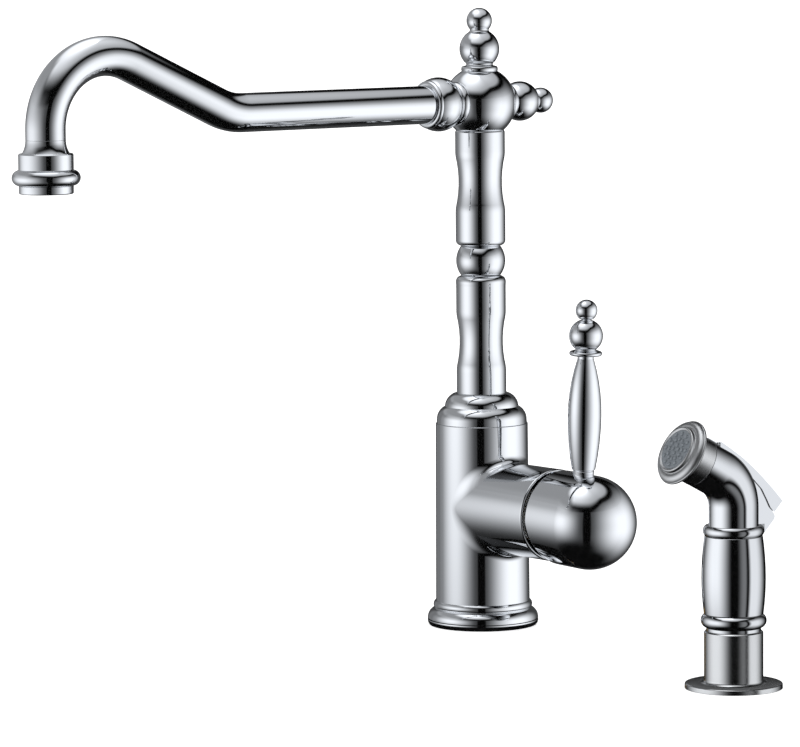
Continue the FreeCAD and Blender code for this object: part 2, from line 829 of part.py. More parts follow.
def with_ports(shape, low, high):
    for offset in port_offsets():
        shape = shape.cut(rod(duct_r, low, high, cartridge_axis() + offset, SIDE))
    return shape


def cartridge_plate():
    plate = rod(cartridge_r, cartridge_base, disc_seat, cartridge_axis(), SIDE)
    return with_ports(plate, cartridge_base, disc_seat)


def cartridge_housing():
    collar_end = cartridge_shoulder + cartridge_collar_h
    return turned([(cartridge_bore_r, disc_seat), (cartridge_r, disc_seat),
                   (cartridge_r, cartridge_shoulder), (cartridge_collar_r, cartridge_shoulder),
                   (cartridge_collar_r, collar_end), (cartridge_lip_r, collar_end),
                   (cartridge_lip_r, collar_end - cartridge_lip_h),
                   (cartridge_bore_r, collar_end - cartridge_lip_h)], cartridge_axis(), SIDE)


def fixed_disc():
    disc = rod(cartridge_bore_r, disc_seat, slide_seat, cartridge_axis(), SIDE)
    return with_ports(disc, disc_seat, slide_seat)


def sliding_disc():
    """Upper ceramic disc: a mixing recess below, a driving pocket above."""
    axis = cartridge_axis()
    disc = rod(slide_disc_r, slide_seat, slide_seat + disc_h, axis, SIDE)
    recess = rod(slide_disc_r - 3.0, slide_seat, slide_seat + 1.2, axis, SIDE)
    pocket = rod(finger_r + finger_play, slide_seat + 1.6, slide_seat + disc_h, axis, SIDE)
    return disc.cut(recess).cut(pocket)


def cartridge_carrier():
    """Turning carrier with the slot in which the stem tilts on its pin."""
    axis = cartridge_axis()
    carrier = rod(cartridge_bore_r - turn_gap, carrier_back, carrier_front, axis, SIDE)
    length = carrier_front - carrier_back
    half_y = stem_half + slide_gap
    slot = Part.makeBox(length, 2 * half_y, 2 * stem_slot_half,
                        Vec(carrier_back, -half_y, branch_z - stem_slot_half))
    return carrier.cut(slot).cut(rod(pivot_pin_r, -cartridge_r, cartridge_r, pivot_point(), BACK))


def pivot_point():
    return Vec(pivot_x, 0, branch_z)


def stem_pin():
    half = on_circle(cartridge_bore_r, pivot_pin_r) - 0.6
    return rod(pivot_pin_r, -half, half, pivot_point(), BACK)


def cartridge_stem():
    """Square stem with a round finger that drives the sliding disc."""
    back = carrier_back + 1.4
    stem = Part.makeBox(stem_end - back, 2 * stem_half, 2 * stem_half,
                        Vec(back, -stem_half, branch_z - stem_half))
    finger = rod(finger_r, slide_seat + 2.0, back + 1, cartridge_axis(), SIDE)
    hole = rod(pivot_pin_r + turn_gap, -cartridge_r, cartridge_r, pivot_point(), BACK)
    return stem.fuse(finger).cut(hole)


def cartridge_nut():
    low = cartridge_shoulder
    return ring(cartridge_collar_r + axial_gap, cartridge_nut_r, low, low + cartridge_nut_h,
                cartridge_axis(), SIDE)


# --------------------------------------------------------------------- handle
def lever_direction():
    lean = math.radians(lever_lean_deg)
    return Vec(math.sin(lean), 0, math.cos(lean))


def lever_base():
    """Where the lever's axis leaves the top of the dome."""
    return Vec(lever_x, 0, branch_z + dome_r)


def dome_relief():
    """Wedge taken off the dome's lower shoulder, so that the handle can tilt."""
    slant = math.radians(dome_relief_deg)
    deep = 2 * dome_r
    depth = deep * math.tan(slant)
    corner = Vec(dome_back, -deep, branch_z)
    face = Part.Face(Part.makePolygon([corner, corner + DOWN * deep,
                                       corner + DOWN * deep + SIDE * depth, corner]))
    wedge = face.extrude(BACK * (2 * deep))
    return wedge.cut(rod(dome_neck_r, 0, dome_centre_x, cartridge_axis(), SIDE))


def handle_dome():
    """Hollow cap with a relieved shoulder, a bore for the sleeve, a boss for the
    lever and a web for the set screw."""
    axis = cartridge_axis()
    inner_r = dome_r - dome_wall
    tip = dome_centre_x + dome_r
    edge = dome_edge * (1 - math.sqrt(0.5))
    shell = turned([(dome_neck_r, dome_back), (dome_r - dome_edge, dome_back),
                    (dome_r - edge, dome_back + edge, dome_r, dome_back + dome_edge),
                    (dome_r, dome_centre_x),
                    (dome_r * math.sqrt(0.5), dome_centre_x + dome_r * math.sqrt(0.5),
                     0, tip), (0, tip - dome_wall),
                    (inner_r * math.sqrt(0.5), dome_centre_x + inner_r * math.sqrt(0.5),
                     inner_r, dome_centre_x), (inner_r, dome_floor),
                    (dome_neck_r, dome_floor)], axis, SIDE)
    lever_foot = lever_base()
    lever_way = lever_direction()
    boss_low = -lever_stud_h - dome_wall
    shell = shell.fuse(rod(2 * lever_stud_r, boss_low, -dome_wall / 2, lever_foot, lever_way))
    screw_axis = Vec(dome_set_screw_x, 0, branch_z)
    shell = shell.fuse(rod(2 * set_screw_r, 0, inner_r + dome_wall / 2, screw_axis, DOWN))
    shell = shell.cut(rod(dome_boss_r, dome_back, tip - dome_wall, axis, SIDE))
    shell = shell.cut(rod(dome_neck_r, dome_back, dome_floor, axis, SIDE))
    shell = shell.cut(rod(set_screw_r, stem_half, dome_r + dome_wall, screw_axis, DOWN))
    shell = shell.cut(rod(lever_stud_r, -lever_stud_h, dome_wall, lever_foot, lever_way))
    seat = rod(lever_foot_r, 0, dome_wall, lever_foot, lever_way)
    return shell.cut(dome_relief()).cut(seat)


def handle_sleeve():
    """Sleeve pressed in the dome: a neck into the branch and a boss with a square
    socket for the stem."""
    axis = cartridge_axis()
    low = dome_back - dome_neck_h
    high = stem_end + dome_boss_end
    sleeve = rod(dome_neck_r, low, dome_floor, axis, SIDE)
    sleeve = sleeve.fuse(rod(dome_boss_r, low, high, axis, SIDE))
    socket = Part.makeBox(stem_end - low, 2 * stem_half, 2 * stem_half,
                          Vec(low, -stem_half, branch_z - stem_half))
    screw_axis = Vec(dome_set_screw_x, 0, branch_z)
    return sleeve.cut(socket).cut(rod(set_screw_r, stem_half, dome_r, screw_axis, DOWN))


def handle_set_screw():
    axis = Vec(dome_set_screw_x, 0, branch_z)
    return rod(set_screw_r, stem_half, stem_half + set_screw_h, axis, DOWN)


def handle_lever():
    """Turned spindle: foot, groove, belly and slim neck, on a threaded stud."""
    low = -on_foot_sink()
    belly_start = lever_foot_h + 0.5
    lower = swell(lever_foot_r + 0.2, belly_start, lever_belly_r, lever_belly_h)
    upper = swell(lever_neck_r, lever_neck_h, lever_belly_r, lever_belly_h)
    steps = [(0, -lever_stud_h), (lever_stud_r, -lever_stud_h), (lever_stud_r, low),
             (lever_foot_r - 0.7, low), (lever_foot_r - 0.3, lever_foot_h - 0.6),
             (lever_groove_r, lever_foot_h), (lever_foot_r + 0.2, belly_start),
             lower + (lever_belly_r, lever_belly_h), upper + (lever_neck_r, lever_neck_h),
             (lever_neck_r, lever_neck_h + 1.2),
             (knob_stud_r, lever_neck_h + 1.2),
             (knob_stud_r, lever_neck_h + 1.2 - knob_stud_h),
             (0, lever_neck_h + 1.2 - knob_stud_h)]
    spindle = turned(steps, lever_base(), lever_direction())
    dome = rod(dome_r, 0, dome_centre_x, cartridge_axis(), SIDE)
    dome = dome.fuse(Part.makeSphere(dome_r, Vec(dome_centre_x, 0, branch_z)))
    stud = rod(lever_stud_r, -lever_stud_h, 1.0, lever_base(), lever_direction())
    return spindle.cut(dome.cut(stud))


def on_foot_sink():
    """How far the round dome falls away under the lever's foot."""
    return dome_r - on_circle(dome_r, lever_foot_r) + 0.3


def lever_knob():
    """Turned knob on the lever: disc, cove, large ball, fine neck, small ball."""
    base = lever_base() + lever_direction() * (lever_neck_h + 1.2)
    disc_mid = knob_disc_h / 2 + 0.4
    cove_h = knob_disc_h + 1.0
    ball_low = knob_ball_h - 7.4
    ball_high = knob_ball_h + 8.5
    tip_low = knob_tip_h - 4.8
    steps = [(0, -knob_stud_h), (knob_stud_r, -knob_stud_h), (knob_stud_r, 0),
             (lever_neck_r, 0), (knob_disc_r - 0.9, 0.4),
             (knob_disc_r, disc_mid, knob_disc_r - 0.9, knob_disc_h + 0.2),
             (knob_cove_r + 0.6, cove_h - 0.2),
             (knob_cove_r, cove_h, on_circle(knob_ball_r, 7.4), ball_low),
             (knob_ball_r, knob_ball_h, on_circle(knob_ball_r, 8.5), ball_high),
             (knob_neck_r, (ball_high + tip_low) / 2, on_circle(knob_tip_r, 4.8), tip_low),
             (knob_tip_r, knob_tip_h, 0, knob_tip_h + knob_tip_r)]
    return turned(steps, base, lever_direction())


# --------------------------------------------------------------- spray holder
def at_spray(shape):
    """The shape moved from the main axis to the hand spray's place and turn."""
    moved = shape.copy()
    moved.rotate(ORIGIN, UP, spray_turn_deg)
    moved.translate(spray_axis)
    return moved


def spray_holder():
    """Flange and upright socket in one turned piece."""
    liner_r = wand_spigot_r + turn_gap + liner_wall
    edge = 0.8
    foot_via = (holder_r + holder_foot_r * 0.3, flange_h + holder_foot_r * 0.3)
    return turned([(spray_gasket_r, 0), (flange_r, 0), (flange_r, flange_h - edge),
                   (flange_r - 0.25, flange_h - 0.25, flange_r - edge, flange_h),
                   (holder_r + holder_foot_r, flange_h),
                   foot_via + (holder_r, flange_h + holder_foot_r),
                   (holder_r, holder_h - 0.6), (holder_r - 0.6, holder_h),
                   (liner_r, holder_h), (liner_r, spray_shank_seat_h),
                   (spray_shank_r, spray_shank_seat_h), (spray_shank_r, gasket_h),
                   (spray_gasket_r, gasket_h)])


def holder_liner():
    inner = wand_spigot_r + turn_gap
    return ring(inner, inner + liner_wall, spray_shank_seat_h, holder_h)


def spray_gasket():
    return ring(spray_shank_r, spray_gasket_r, 0, gasket_h)


def spray_shank():
    bottom = -deck_thickness - spray_shank_below_deck
    return ring(spray_shank_r - spray_shank_wall, spray_shank_r, bottom, spray_shank_seat_h)


def spray_washer():
    top = -deck_thickness
    return ring(spray_shank_r + loose_gap, spray_washer_r, top - spray_washer_h, top)


def spray_nut():
    top = -deck_thickness - spray_washer_h
    return hex_nut(spray_nut_flats, spray_shank_r, top - spray_nut_h, top)


# ----------------------------------------------------------- hose connection
def hose_coupling():
    """Swivel end for the hose inside the hand spray, with its nipple below."""
    low = holder_h - wand_spigot_h
    inner = wand_bore_r - turn_gap
    groove_r = inner - 1.5
    return turned([(coupling_bore_r, low - coupling_nipple_h),
                   (coupling_nipple_r, low - coupling_nipple_h),
                   (coupling_nipple_r, low - 3.0), (inner, low - 3.0),
                   (inner, low - axial_gap - clip_h), (groove_r, low - axial_gap - clip_h),
                   (groove_r, low - axial_gap), (inner, low - axial_gap),
                   (inner, low + coupling_h), (coupling_bore_r, low + coupling_h)])


def coupling_clip():
    """Open snap ring that holds the hand spray on its hose end."""
    low = holder_h - wand_spigot_h - axial_gap - clip_h
    clip = ring(wand_bore_r - turn_gap - 1.5, clip_r, low, low + clip_h)
    return clip.cut(Part.makeBox(clip_r, 3.0, clip_h, Vec(0, -1.5, low)))


def coupling_o_ring():
    low = holder_h - wand_spigot_h + coupling_h
    return ring(coupling_bore_r, wand_bore_r - turn_gap, low, low + gasket_h)


# ----------------------------------------------------------------- hand spray
def wand_base():
    """Straight foot of the hand spray, in the holder and up to the neck."""
    low = holder_h - wand_spigot_h
    return turned([(wand_bore_r, low), (wand_spigot_r - 0.4, low), (wand_spigot_r, low + 0.8),
                   (wand_spigot_r, spray_neck_root), (wand_bore_r, spray_neck_root)])


def grip_bead():
    """Throat over the holder and the bead at the grip's foot."""
    high = grip_z + grip_bead_h
    return turned([(wand_spigot_r, holder_h), (wand_throat_r, holder_h), (wand_throat_r, grip_z),
                   (grip_bead_r, grip_z + grip_bead_h / 2, grip_foot_r, high),
                   (spray_neck_r, high), (spray_neck_r, spray_neck_root),
                   (wand_spigot_r, spray_neck_root)])


def grip():
    """Swelling chromed sleeve of the hand spray."""
    low = grip_z + grip_bead_h
    belly = low + grip_belly_h
    return turned([(spray_neck_r, low), (grip_foot_r - 0.3, low), (grip_foot_r, low + 0.5),
                   swell(grip_foot_r, low + 0.5, grip_belly_r, belly) + (grip_belly_r, belly),
                   swell(grip_top_r, grip_top, grip_belly_r, belly) + (grip_top_r, grip_top),
                   (spray_neck_r, grip_top)])


def grip_ring():
    high = grip_top + grip_ring_h
    middle = (grip_top + high) / 2
    return turned([(spray_neck_r, grip_top), (grip_top_r - 0.3, grip_top),
                   (grip_top_r, grip_top + 0.5), (grip_ring_r, middle, grip_top_r - 0.4, high),
                   (spray_neck_r, high)])


def neck_path(start_z, extra):
    """Centre line of the hand spray's neck, up and then tilted forward."""
    turn = math.pi / 2 - tilt
    arc_end = yz(-spray_bend_r * (1 - math.cos(turn)),
                 spray_bend_z + spray_bend_r * math.sin(turn))
    arc_mid = yz(-spray_bend_r * (1 - math.cos(turn / 2)),
                 spray_bend_z + spray_bend_r * math.sin(turn / 2))
    bend = yz(0, spray_bend_z)
    return Part.Wire([Part.makeLine(yz(0, start_z), bend),
                      Part.Arc(bend, arc_mid, arc_end).toShape(),
                      Part.makeLine(arc_end, arc_end + HEAD * (spray_seam_run + extra))])


def seam_point():
    """Middle of the joint between the neck and the spray's collar."""
    turn = math.pi / 2 - tilt
    return yz(-spray_bend_r * (1 - math.cos(turn)),
              spray_bend_z + spray_bend_r * math.sin(turn)) + HEAD * spray_seam_run


def bend_centre():
    return yz(-spray_bend_r, spray_bend_z)


def valve_place():
    """Where the valve's head meets the lever, and the way it is pressed."""
    turn = math.radians(valve_turn_deg)
    outward = Vec(0, math.cos(turn), math.sin(turn))
    return bend_centre() + outward * (spray_bend_r + spray_neck_r + valve_lift), -outward


def trigger_pin_place():
    return yz(trigger_pin_y, trigger_pin_z)


def housing_outline():
    """Side view of the valve housing that stands out behind the neck."""
    ring_top = grip_top + grip_ring_h
    start, foot = housing_back
    bulge, end, root = housing_top
    return [yz(0, ring_top), yz(start[0], ring_top), yz(*start), yz(*foot),
            arc(*housing_corner), arc(bulge, end), yz(*root)]


def lug_outline():
    """Side view of the lug over the collar that carries the lever's pin."""
    return [yz(*point) for point in lug_front] + [arc(*lug_back[:2]), yz(*lug_back[2])]


def spray_neck():
    """Neck casting: bent tube, valve housing, pin lug and the valve's bore."""
    solid = swept(spray_neck_r, neck_path(spray_neck_root, 0))
    pin = trigger_pin_place()
    for side in (SIDE, -SIDE):
        solid = solid.cut(rod(trigger_eye_r + loose_gap, housing_half, spray_neck_r, pin, side))
    solid = solid.fuse(sheet(housing_outline(), housing_half))
    solid = solid.fuse(sheet(lug_outline(), housing_half))
    solid = solid.cut(swept(spray_neck_bore_r, neck_path(spray_neck_root, 0)))
    seam = seam_point()
    solid = solid.cut(rod(spray_collar_r + axial_gap, 0, spray_collar_h, seam, HEAD))
    solid = solid.cut(rod(trigger_pin_r, -housing_half, housing_half, pin, SIDE))
    head, inward = valve_place()
    solid = solid.cut(rod(valve_stem_r + slide_gap, 0, valve_length, head, inward))
    recess = valve_lift + valve_recess_h
    return solid.cut(rod(valve_head_r + trigger_gap, 0, recess, head, inward))


def trigger_outline():
    """Side view of the lever, from behind the pin down to its tip."""
    under, bulge, end, root = lever_under
    return [yz(*lever_back[0]), arc(*lever_back[1:]), arc(*lever_tip[:2]),
            yz(*lever_tip[2]), yz(*under), arc(bulge, end), yz(*root)]


def trigger_hollow():
    """Side view of the space between the lever's cheeks."""
    top = [yz(*point) for point in hollow_top]
    under = [yz(*point) for point in hollow_under]
    return top + [arc(*hollow_back[:2]), yz(*hollow_back[2])] + under


def spray_trigger():
    """Lever that straddles the valve housing and turns on a cross pin."""
    solid = sheet(trigger_outline(), trigger_half)
    neck = swept(spray_neck_r + trigger_press_room, neck_path(spray_neck_root, 2.0))
    pin = trigger_pin_place()
    eyes = rod(trigger_eye_r, -trigger_half, trigger_half, pin, SIDE)
    solid = solid.cut(neck).fuse(eyes)
    solid = solid.cut(sheet(trigger_hollow(), housing_half + trigger_gap))
    return solid.cut(rod(trigger_pin_r + turn_gap, -trigger_half, trigger_half, pin, SIDE))


def trigger_pin():
    half = trigger_half - axial_gap
    return rod(trigger_pin_r, -half, half, trigger_pin_place(), SIDE)


def valve_stem():
    head, inward = valve_place()
    stem = rod(valve_stem_r, 0, valve_length, head, inward)
    return stem.fuse(rod(valve_head_r, 0, valve_head_h, head, inward))


def spray_collar():
    seam = seam_point()
    return turned([(spray_neck_bore_r, 0), (spray_collar_r - 0.4, 0), (spray_collar_r, 0.4),
                   (spray_collar_r, spray_collar_h), (spray_neck_bore_r, spray_collar_h)],
                  seam, HEAD)


def spray_bell():
    """Bell: flares to a broad round rim and stands up as a lip round the disc."""
    base = seam_point() + HEAD * spray_collar_h
    lip = bell_face_r
    shoulder = bell_h + bell_shoulder
    front = bell_h + bell_face_h
    floor = front - nozzle_disc_inset - nozzle_disc_h
    return turned([(spray_neck_bore_r, 0), (spray_collar_r, 0),
                   (spray_collar_r + 0.6, 1.9, bell_r - 0.5, bell_h - 2.0),
                   (bell_r + 0.15, bell_h - 1.2, bell_r - 0.3, bell_h - 0.4),
                   (bell_r - 1.7, bell_h + 1.3, lip + 1.0, shoulder), (lip, shoulder),
                   (lip, front - 0.6), (lip - 0.3, front - 0.1, lip - 0.9, front),
                   (nozzle_disc_r, front - nozzle_disc_inset), (nozzle_disc_r, floor),
                   (spray_neck_bore_r, floor)], base, HEAD)


def nozzle_disc():
    """Soft spray face with rings of small nozzles."""
    front = bell_h + bell_face_h - nozzle_disc_inset
    base = seam_point() + HEAD * spray_collar_h
    disc = rod(nozzle_disc_r, front - nozzle_disc_h, front, base, HEAD)
    side = Vec(1, 0, 0)
    rise = HEAD.cross(side)
    for count, circle_r in nozzle_rings:
        for index in range(count):
            turn = 2 * math.pi * index / count
            place = base + side * (circle_r * math.cos(turn)) + rise * (circle_r * math.sin(turn))
            foot = place + HEAD * (front - axial_gap)
            nub = Part.makeCone(nozzle_nub_r, nozzle_nub_r / 2, nozzle_nub_h, foot, HEAD)
            disc = disc.fuse(nub)
    return disc


def build():
    """Every sub-part of the faucet by its name."""
    nodes = {
        "base_ring": base_ring(), "base_gasket": base_gasket(),
        "mounting_shank": mounting_shank(), "shank_rubber_washer": shank_rubber_washer(),
        "shank_steel_washer": shank_steel_washer(), "mounting_nut": mounting_nut(),
        "valve_body": valve_body(), "valve_branch": valve_branch(),
        "branch_ring": branch_ring(), "bonnet": bonnet(),
        "glide_rings": glide_rings(), "diverter_cage": diverter_cage(),
        "diverter_spool": diverter_spool(), "column_lower": column_lower(),
        "spigot_o_rings": spigot_o_rings(), "column_ball": column_ball(),
        "column_upper": column_upper(), "spout_hub": spout_hub(),
        "top_finial": finial(UP, finial_ball_h, finial_tip_h),
        "rear_finial": finial(BACK, rear_ball_h, rear_tip_h), "spout_collar": spout_collar(),
        "spout_tube": spout_tube(), "spout_outlet": spout_outlet(),
        "aerator_ring": aerator_ring(), "aerator_screen": aerator_screen(),
        "aerator_washer": aerator_washer(), "cartridge_seals": cartridge_seals(),
        "cartridge_plate": cartridge_plate(), "cartridge_housing": cartridge_housing(),
        "fixed_disc": fixed_disc(), "sliding_disc": sliding_disc(),
        "cartridge_carrier": cartridge_carrier(), "stem_pin": stem_pin(),
        "cartridge_stem": cartridge_stem(), "cartridge_nut": cartridge_nut(),
        "handle_dome": handle_dome(), "handle_sleeve": handle_sleeve(),
        "handle_set_screw": handle_set_screw(),
        "handle_lever": handle_lever(), "lever_knob": lever_knob(),
    }
    spray_nodes = {
        "spray_holder": spray_holder(), "holder_liner": holder_liner(),
        "spray_gasket": spray_gasket(), "spray_shank": spray_shank(),
        "spray_washer": spray_washer(), "spray_nut": spray_nut(),
        "hose_coupling": hose_coupling(), "coupling_clip": coupling_clip(),
        "coupling_seal": coupling_o_ring(), "wand_base": wand_base(),
        "grip_bead": grip_bead(), "grip": grip(), "grip_ring": grip_ring(),
        "spray_neck": spray_neck(), "spray_trigger": spray_trigger(),
        "trigger_pin": trigger_pin(), "valve_stem": valve_stem(),
        "spray_collar": spray_collar(), "spray_bell": spray_bell(),
        "nozzle_disc": nozzle_disc(),
    }
    for name, shape in spray_nodes.items():
        nodes[name] = at_spray(shape)
    for name in ("cartridge_stem", "handle_dome", "handle_sleeve", "handle_set_screw",
                 "handle_lever", "lever_knob"):
        nodes[name].rotate(pivot_point(), BACK, handle_rest_deg)
    nodes["sliding_disc"].translate(UP * disc_rest_shift)
    return nodes


os.makedirs("parts", exist_ok=True)
for node_name, node_shape in build().items():
    node_shape.exportStep("parts/" + node_name + ".step")
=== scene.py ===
# %% [markdown]
# # Side spray kitchen faucet
#
# A high kitchen faucet in polished chrome plate, with a turned column, a gooseneck
# spout, a lever on a horizontal branch and a hand spray in its own holder. The
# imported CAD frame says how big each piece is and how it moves. This script gives
# each visible piece a smooth surface, its finish and the light of a product
# photograph. Lengths below are in millimetres until a mesh is made.

# %%
import functools
import json
import math

import bpy
import numpy as np
from mathutils import Matrix, Vector


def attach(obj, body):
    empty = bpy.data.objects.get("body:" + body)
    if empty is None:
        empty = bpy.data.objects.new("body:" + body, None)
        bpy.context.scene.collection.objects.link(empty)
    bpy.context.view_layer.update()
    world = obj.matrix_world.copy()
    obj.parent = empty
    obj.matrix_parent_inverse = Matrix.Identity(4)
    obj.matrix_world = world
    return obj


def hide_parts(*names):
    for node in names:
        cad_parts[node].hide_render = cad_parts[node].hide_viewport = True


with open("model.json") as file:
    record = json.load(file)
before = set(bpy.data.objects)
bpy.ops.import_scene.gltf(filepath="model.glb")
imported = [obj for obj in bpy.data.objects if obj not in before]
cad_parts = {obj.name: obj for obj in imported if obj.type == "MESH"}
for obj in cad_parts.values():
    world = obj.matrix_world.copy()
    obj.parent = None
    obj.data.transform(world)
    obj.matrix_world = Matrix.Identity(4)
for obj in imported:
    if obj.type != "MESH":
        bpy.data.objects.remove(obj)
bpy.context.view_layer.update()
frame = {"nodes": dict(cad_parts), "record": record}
record = frame["record"]
body_of_node = {n: b for b, names in record["behaviour"]["bodies"].items() for n in names}
slot_of_node = {part["node"]: part["material_slot"] for part in record["subparts"]}

# %% [markdown]
# ## Sizes
#
# The sizes are those of the CAD part. A turned piece is described by the half
# outline that a lathe tool would follow: (radius, height) is a corner, and
# (radius, height, radius, height) is an arc through the first point to the second.

# %%
MM = 0.001
hub_z = 295.6
branch_z = 68.4
pivot = Vector((49.0, 0.0, branch_z))
rest_tilt = math.radians(1.5)
dome_r, dome_back, dome_centre = 26.1, 68.2, 93.2
spray_place = Vector((250.4, -36.8, 0.0))
spray_turn = math.radians(-7.0)
bend_z, bend_r, neck_r, head_tilt = 94.8, 22.0, 12.9, math.radians(28.0)


def toward(direction):
    """Matrix that turns +Z to a direction."""
    return Vector(direction).to_track_quat("Z", "Y").to_matrix().to_4x4()


at_origin = Matrix.Identity(4)
at_hub_top = Matrix.Translation((0, 0, hub_z))
at_hub_back = at_hub_top @ toward((0, 1, 0))
at_hub_front = at_hub_top @ toward((0, -1, 0))
at_outlet = Matrix.Translation((0, -292.8, 0))
tilt_handle = (Matrix.Translation(pivot) @ Matrix.Rotation(rest_tilt, 4, "Y")
               @ Matrix.Translation(-pivot))
lever_lean = math.radians(0.5)
lever_way = Vector((math.sin(lever_lean), 0, math.cos(lever_lean)))
at_lever = tilt_handle @ Matrix.Translation((87.5, 0, branch_z + dome_r)) @ toward(lever_way)
at_spray = Matrix.Translation(spray_place) @ Matrix.Rotation(spray_turn, 4, "Z")
head_way = Vector((0, -math.cos(head_tilt), math.sin(head_tilt)))
bend_turn = math.pi / 2 - head_tilt
bend_end = Vector((0, -bend_r * (1 - math.cos(bend_turn)), bend_z + bend_r * math.sin(bend_turn)))
seam = bend_end + head_way * 11.0
at_collar = at_spray @ Matrix.Translation(seam) @ toward(head_way)
at_bell = at_spray @ Matrix.Translation(seam + head_way * 8.5) @ toward(head_way)
print("spray seam", [round(v, 1) for v in seam])

# %% [markdown]
# ## Turned outlines
#
# The plated pieces are mirrors, so a facet or a wrong normal shows at once. Each
# outline is therefore kept as short runs of points with their exact tangents, and
# each sharp corner gets the small radius that polishing leaves. The mesh takes its
# normals from those tangents.

# %%
def arc_points(start, via, end, step_deg=4.0):
    """Points and tangents along the circle through three points."""
    (ax, ay), (bx, by), (cx, cy) = start, via, end
    d = 2 * (ax * (by - cy) + bx * (cy - ay) + cx * (ay - by))
    if abs(d) < 1e-9:
        return line_points(start, end)
    sa, sb, sc = ax * ax + ay * ay, bx * bx + by * by, cx * cx + cy * cy
    ux = (sa * (by - cy) + sb * (cy - ay) + sc * (ay - by)) / d
    uy = (sa * (cx - bx) + sb * (ax - cx) + sc * (bx - ax)) / d
    a0 = math.atan2(ay - uy, ax - ux)
    a1 = math.atan2(by - uy, bx - ux)
    a2 = math.atan2(cy - uy, cx - ux)
    turn = (a2 - a0) % (2 * math.pi)
    way = 1
    if (a1 - a0) % (2 * math.pi) > turn:
        turn -= 2 * math.pi
        way = -1
    radius = math.hypot(ax - ux, ay - uy)
    count = max(4, int(abs(math.degrees(turn)) / step_deg) + 1)
    angles = [a0 + turn * i / count for i in range(count + 1)]
    points = [(ux + radius * math.cos(a), uy + radius * math.sin(a)) for a in angles]
    tangents = [(-way * math.sin(a), way * math.cos(a)) for a in angles]
    return np.array(points), np.array(tangents)


def line_points(start, end):
    a, b = np.array(start, float), np.array(end, float)
    t = (b - a) / max(np.linalg.norm(b - a), 1e-12)
    return np.array([a, b]), np.array([t, t])


def shortened(run, cut, at_start):
    """A run of points with a given length taken off one end."""
    points, tangents = run
    if at_start:
        points, tangents = points[::-1], tangents[::-1]
    left = cut
    while len(points) > 2 and np.linalg.norm(points[-1] - points[-2]) <= left:
        left -= np.linalg.norm(points[-1] - points[-2])
        points, tangents = points[:-1], tangents[:-1]
    length = np.linalg.norm(points[-1] - points[-2])
    t = min(left / length, 0.9)
    points, tangents = points.copy(), tangents.copy()
    points[-1] += (points[-2] - points[-1]) * t
    tangents[-1] += (tangents[-2] - tangents[-1]) * t
    if at_start:
        points, tangents = points[::-1], tangents[::-1]
    return points, tangents


def outline(steps, soft=0.2, closed=True):
    """Rounded outline of a turned piece as points and tangents."""
    runs = []
    here = steps[0]
    for step in steps[1:]:
        end = (step[-2], step[-1])
        runs.append(arc_points(here, step[:2], end) if len(step) == 4 else line_points(here, end))
        here = end
    if closed:
        runs.append(line_points(here, steps[0]))
    count = len(runs)
    corners = range(count if closed else count - 1)
    lengths = [np.linalg.norm(np.diff(run[0], axis=0), axis=1).sum() for run in runs]
    fillets = {}
    for i in corners:
        j = (i + 1) % count
        t0, t1 = runs[i][1][-1], runs[j][1][0]
        turn = math.acos(max(-1.0, min(1.0, float(t0 @ t1))))
        if turn < math.radians(6):
            continue
        cut = min(soft * math.tan(min(turn, 2.6) / 2), 0.35 * lengths[i], 0.35 * lengths[j])
        runs[i] = shortened(runs[i], cut, False)
        runs[j] = shortened(runs[j], cut, True)
        fillets[i] = (cut, turn)
    points, tangents = [], []
    for i in range(count):
        points.extend(runs[i][0])
        tangents.extend(runs[i][1])
        if i in fillets:
            j = (i + 1) % count
            p0, t0, p1, t1 = runs[i][0][-1], runs[i][1][-1], runs[j][0][0], runs[j][1][0]
            pull = np.linalg.norm(p1 - p0) * 1.1
            for s in (0.2, 0.4, 0.6, 0.8):
                h = (2 * s**3 - 3 * s**2 + 1, s**3 - 2 * s**2 + s, 3 * s**2 - 2 * s**3, s**3 - s**2)
                g = (6 * s**2 - 6 * s, 3 * s**2 - 4 * s + 1, 6 * s - 6 * s**2, 3 * s**2 - 2 * s)
                points.append(h[0] * p0 + h[1] * pull * t0 + h[2] * p1 + h[3] * pull * t1)
                t = g[0] * p0 + g[1] * pull * t0 + g[2] * p1 + g[3] * pull * t1
                tangents.append(t / np.linalg.norm(t))
    kept_points, kept_tangents = [points[0]], [tangents[0]]
    for p, t in zip(points[1:], tangents[1:]):
        if np.linalg.norm(p - kept_points[-1]) > 1e-5:
            kept_points.append(p)
            kept_tangents.append(t)
    if closed and np.linalg.norm(kept_points[0] - kept_points[-1]) < 1e-5:
        kept_points.pop()
        kept_tangents.pop()
    return np.array(kept_points), np.array(kept_tangents)


def swell(end_r, end_h, peak_r, peak_h):
    """Point half way along the arc from an end to a peak where it runs upright."""
    rise, depth = abs(end_h - peak_h), abs(peak_r - end_r)
    radius = (rise ** 2 + depth ** 2) / (2 * depth)
    sagitta = radius - math.sqrt(radius ** 2 - (rise / 2) ** 2)
    return peak_r + math.copysign(sagitta, end_r - peak_r), (end_h + peak_h) / 2


def circle_r(radius, height):
    """Radius of a ball at a height from its middle."""
    return math.sqrt(radius ** 2 - height ** 2)


# %% [markdown]
# ## Meshes
#
# One function turns points, faces and exact normals into a mesh in metres, and
# joins the points that two patches share so that no seam stays open. The lathe
# and the swept tube both use it.

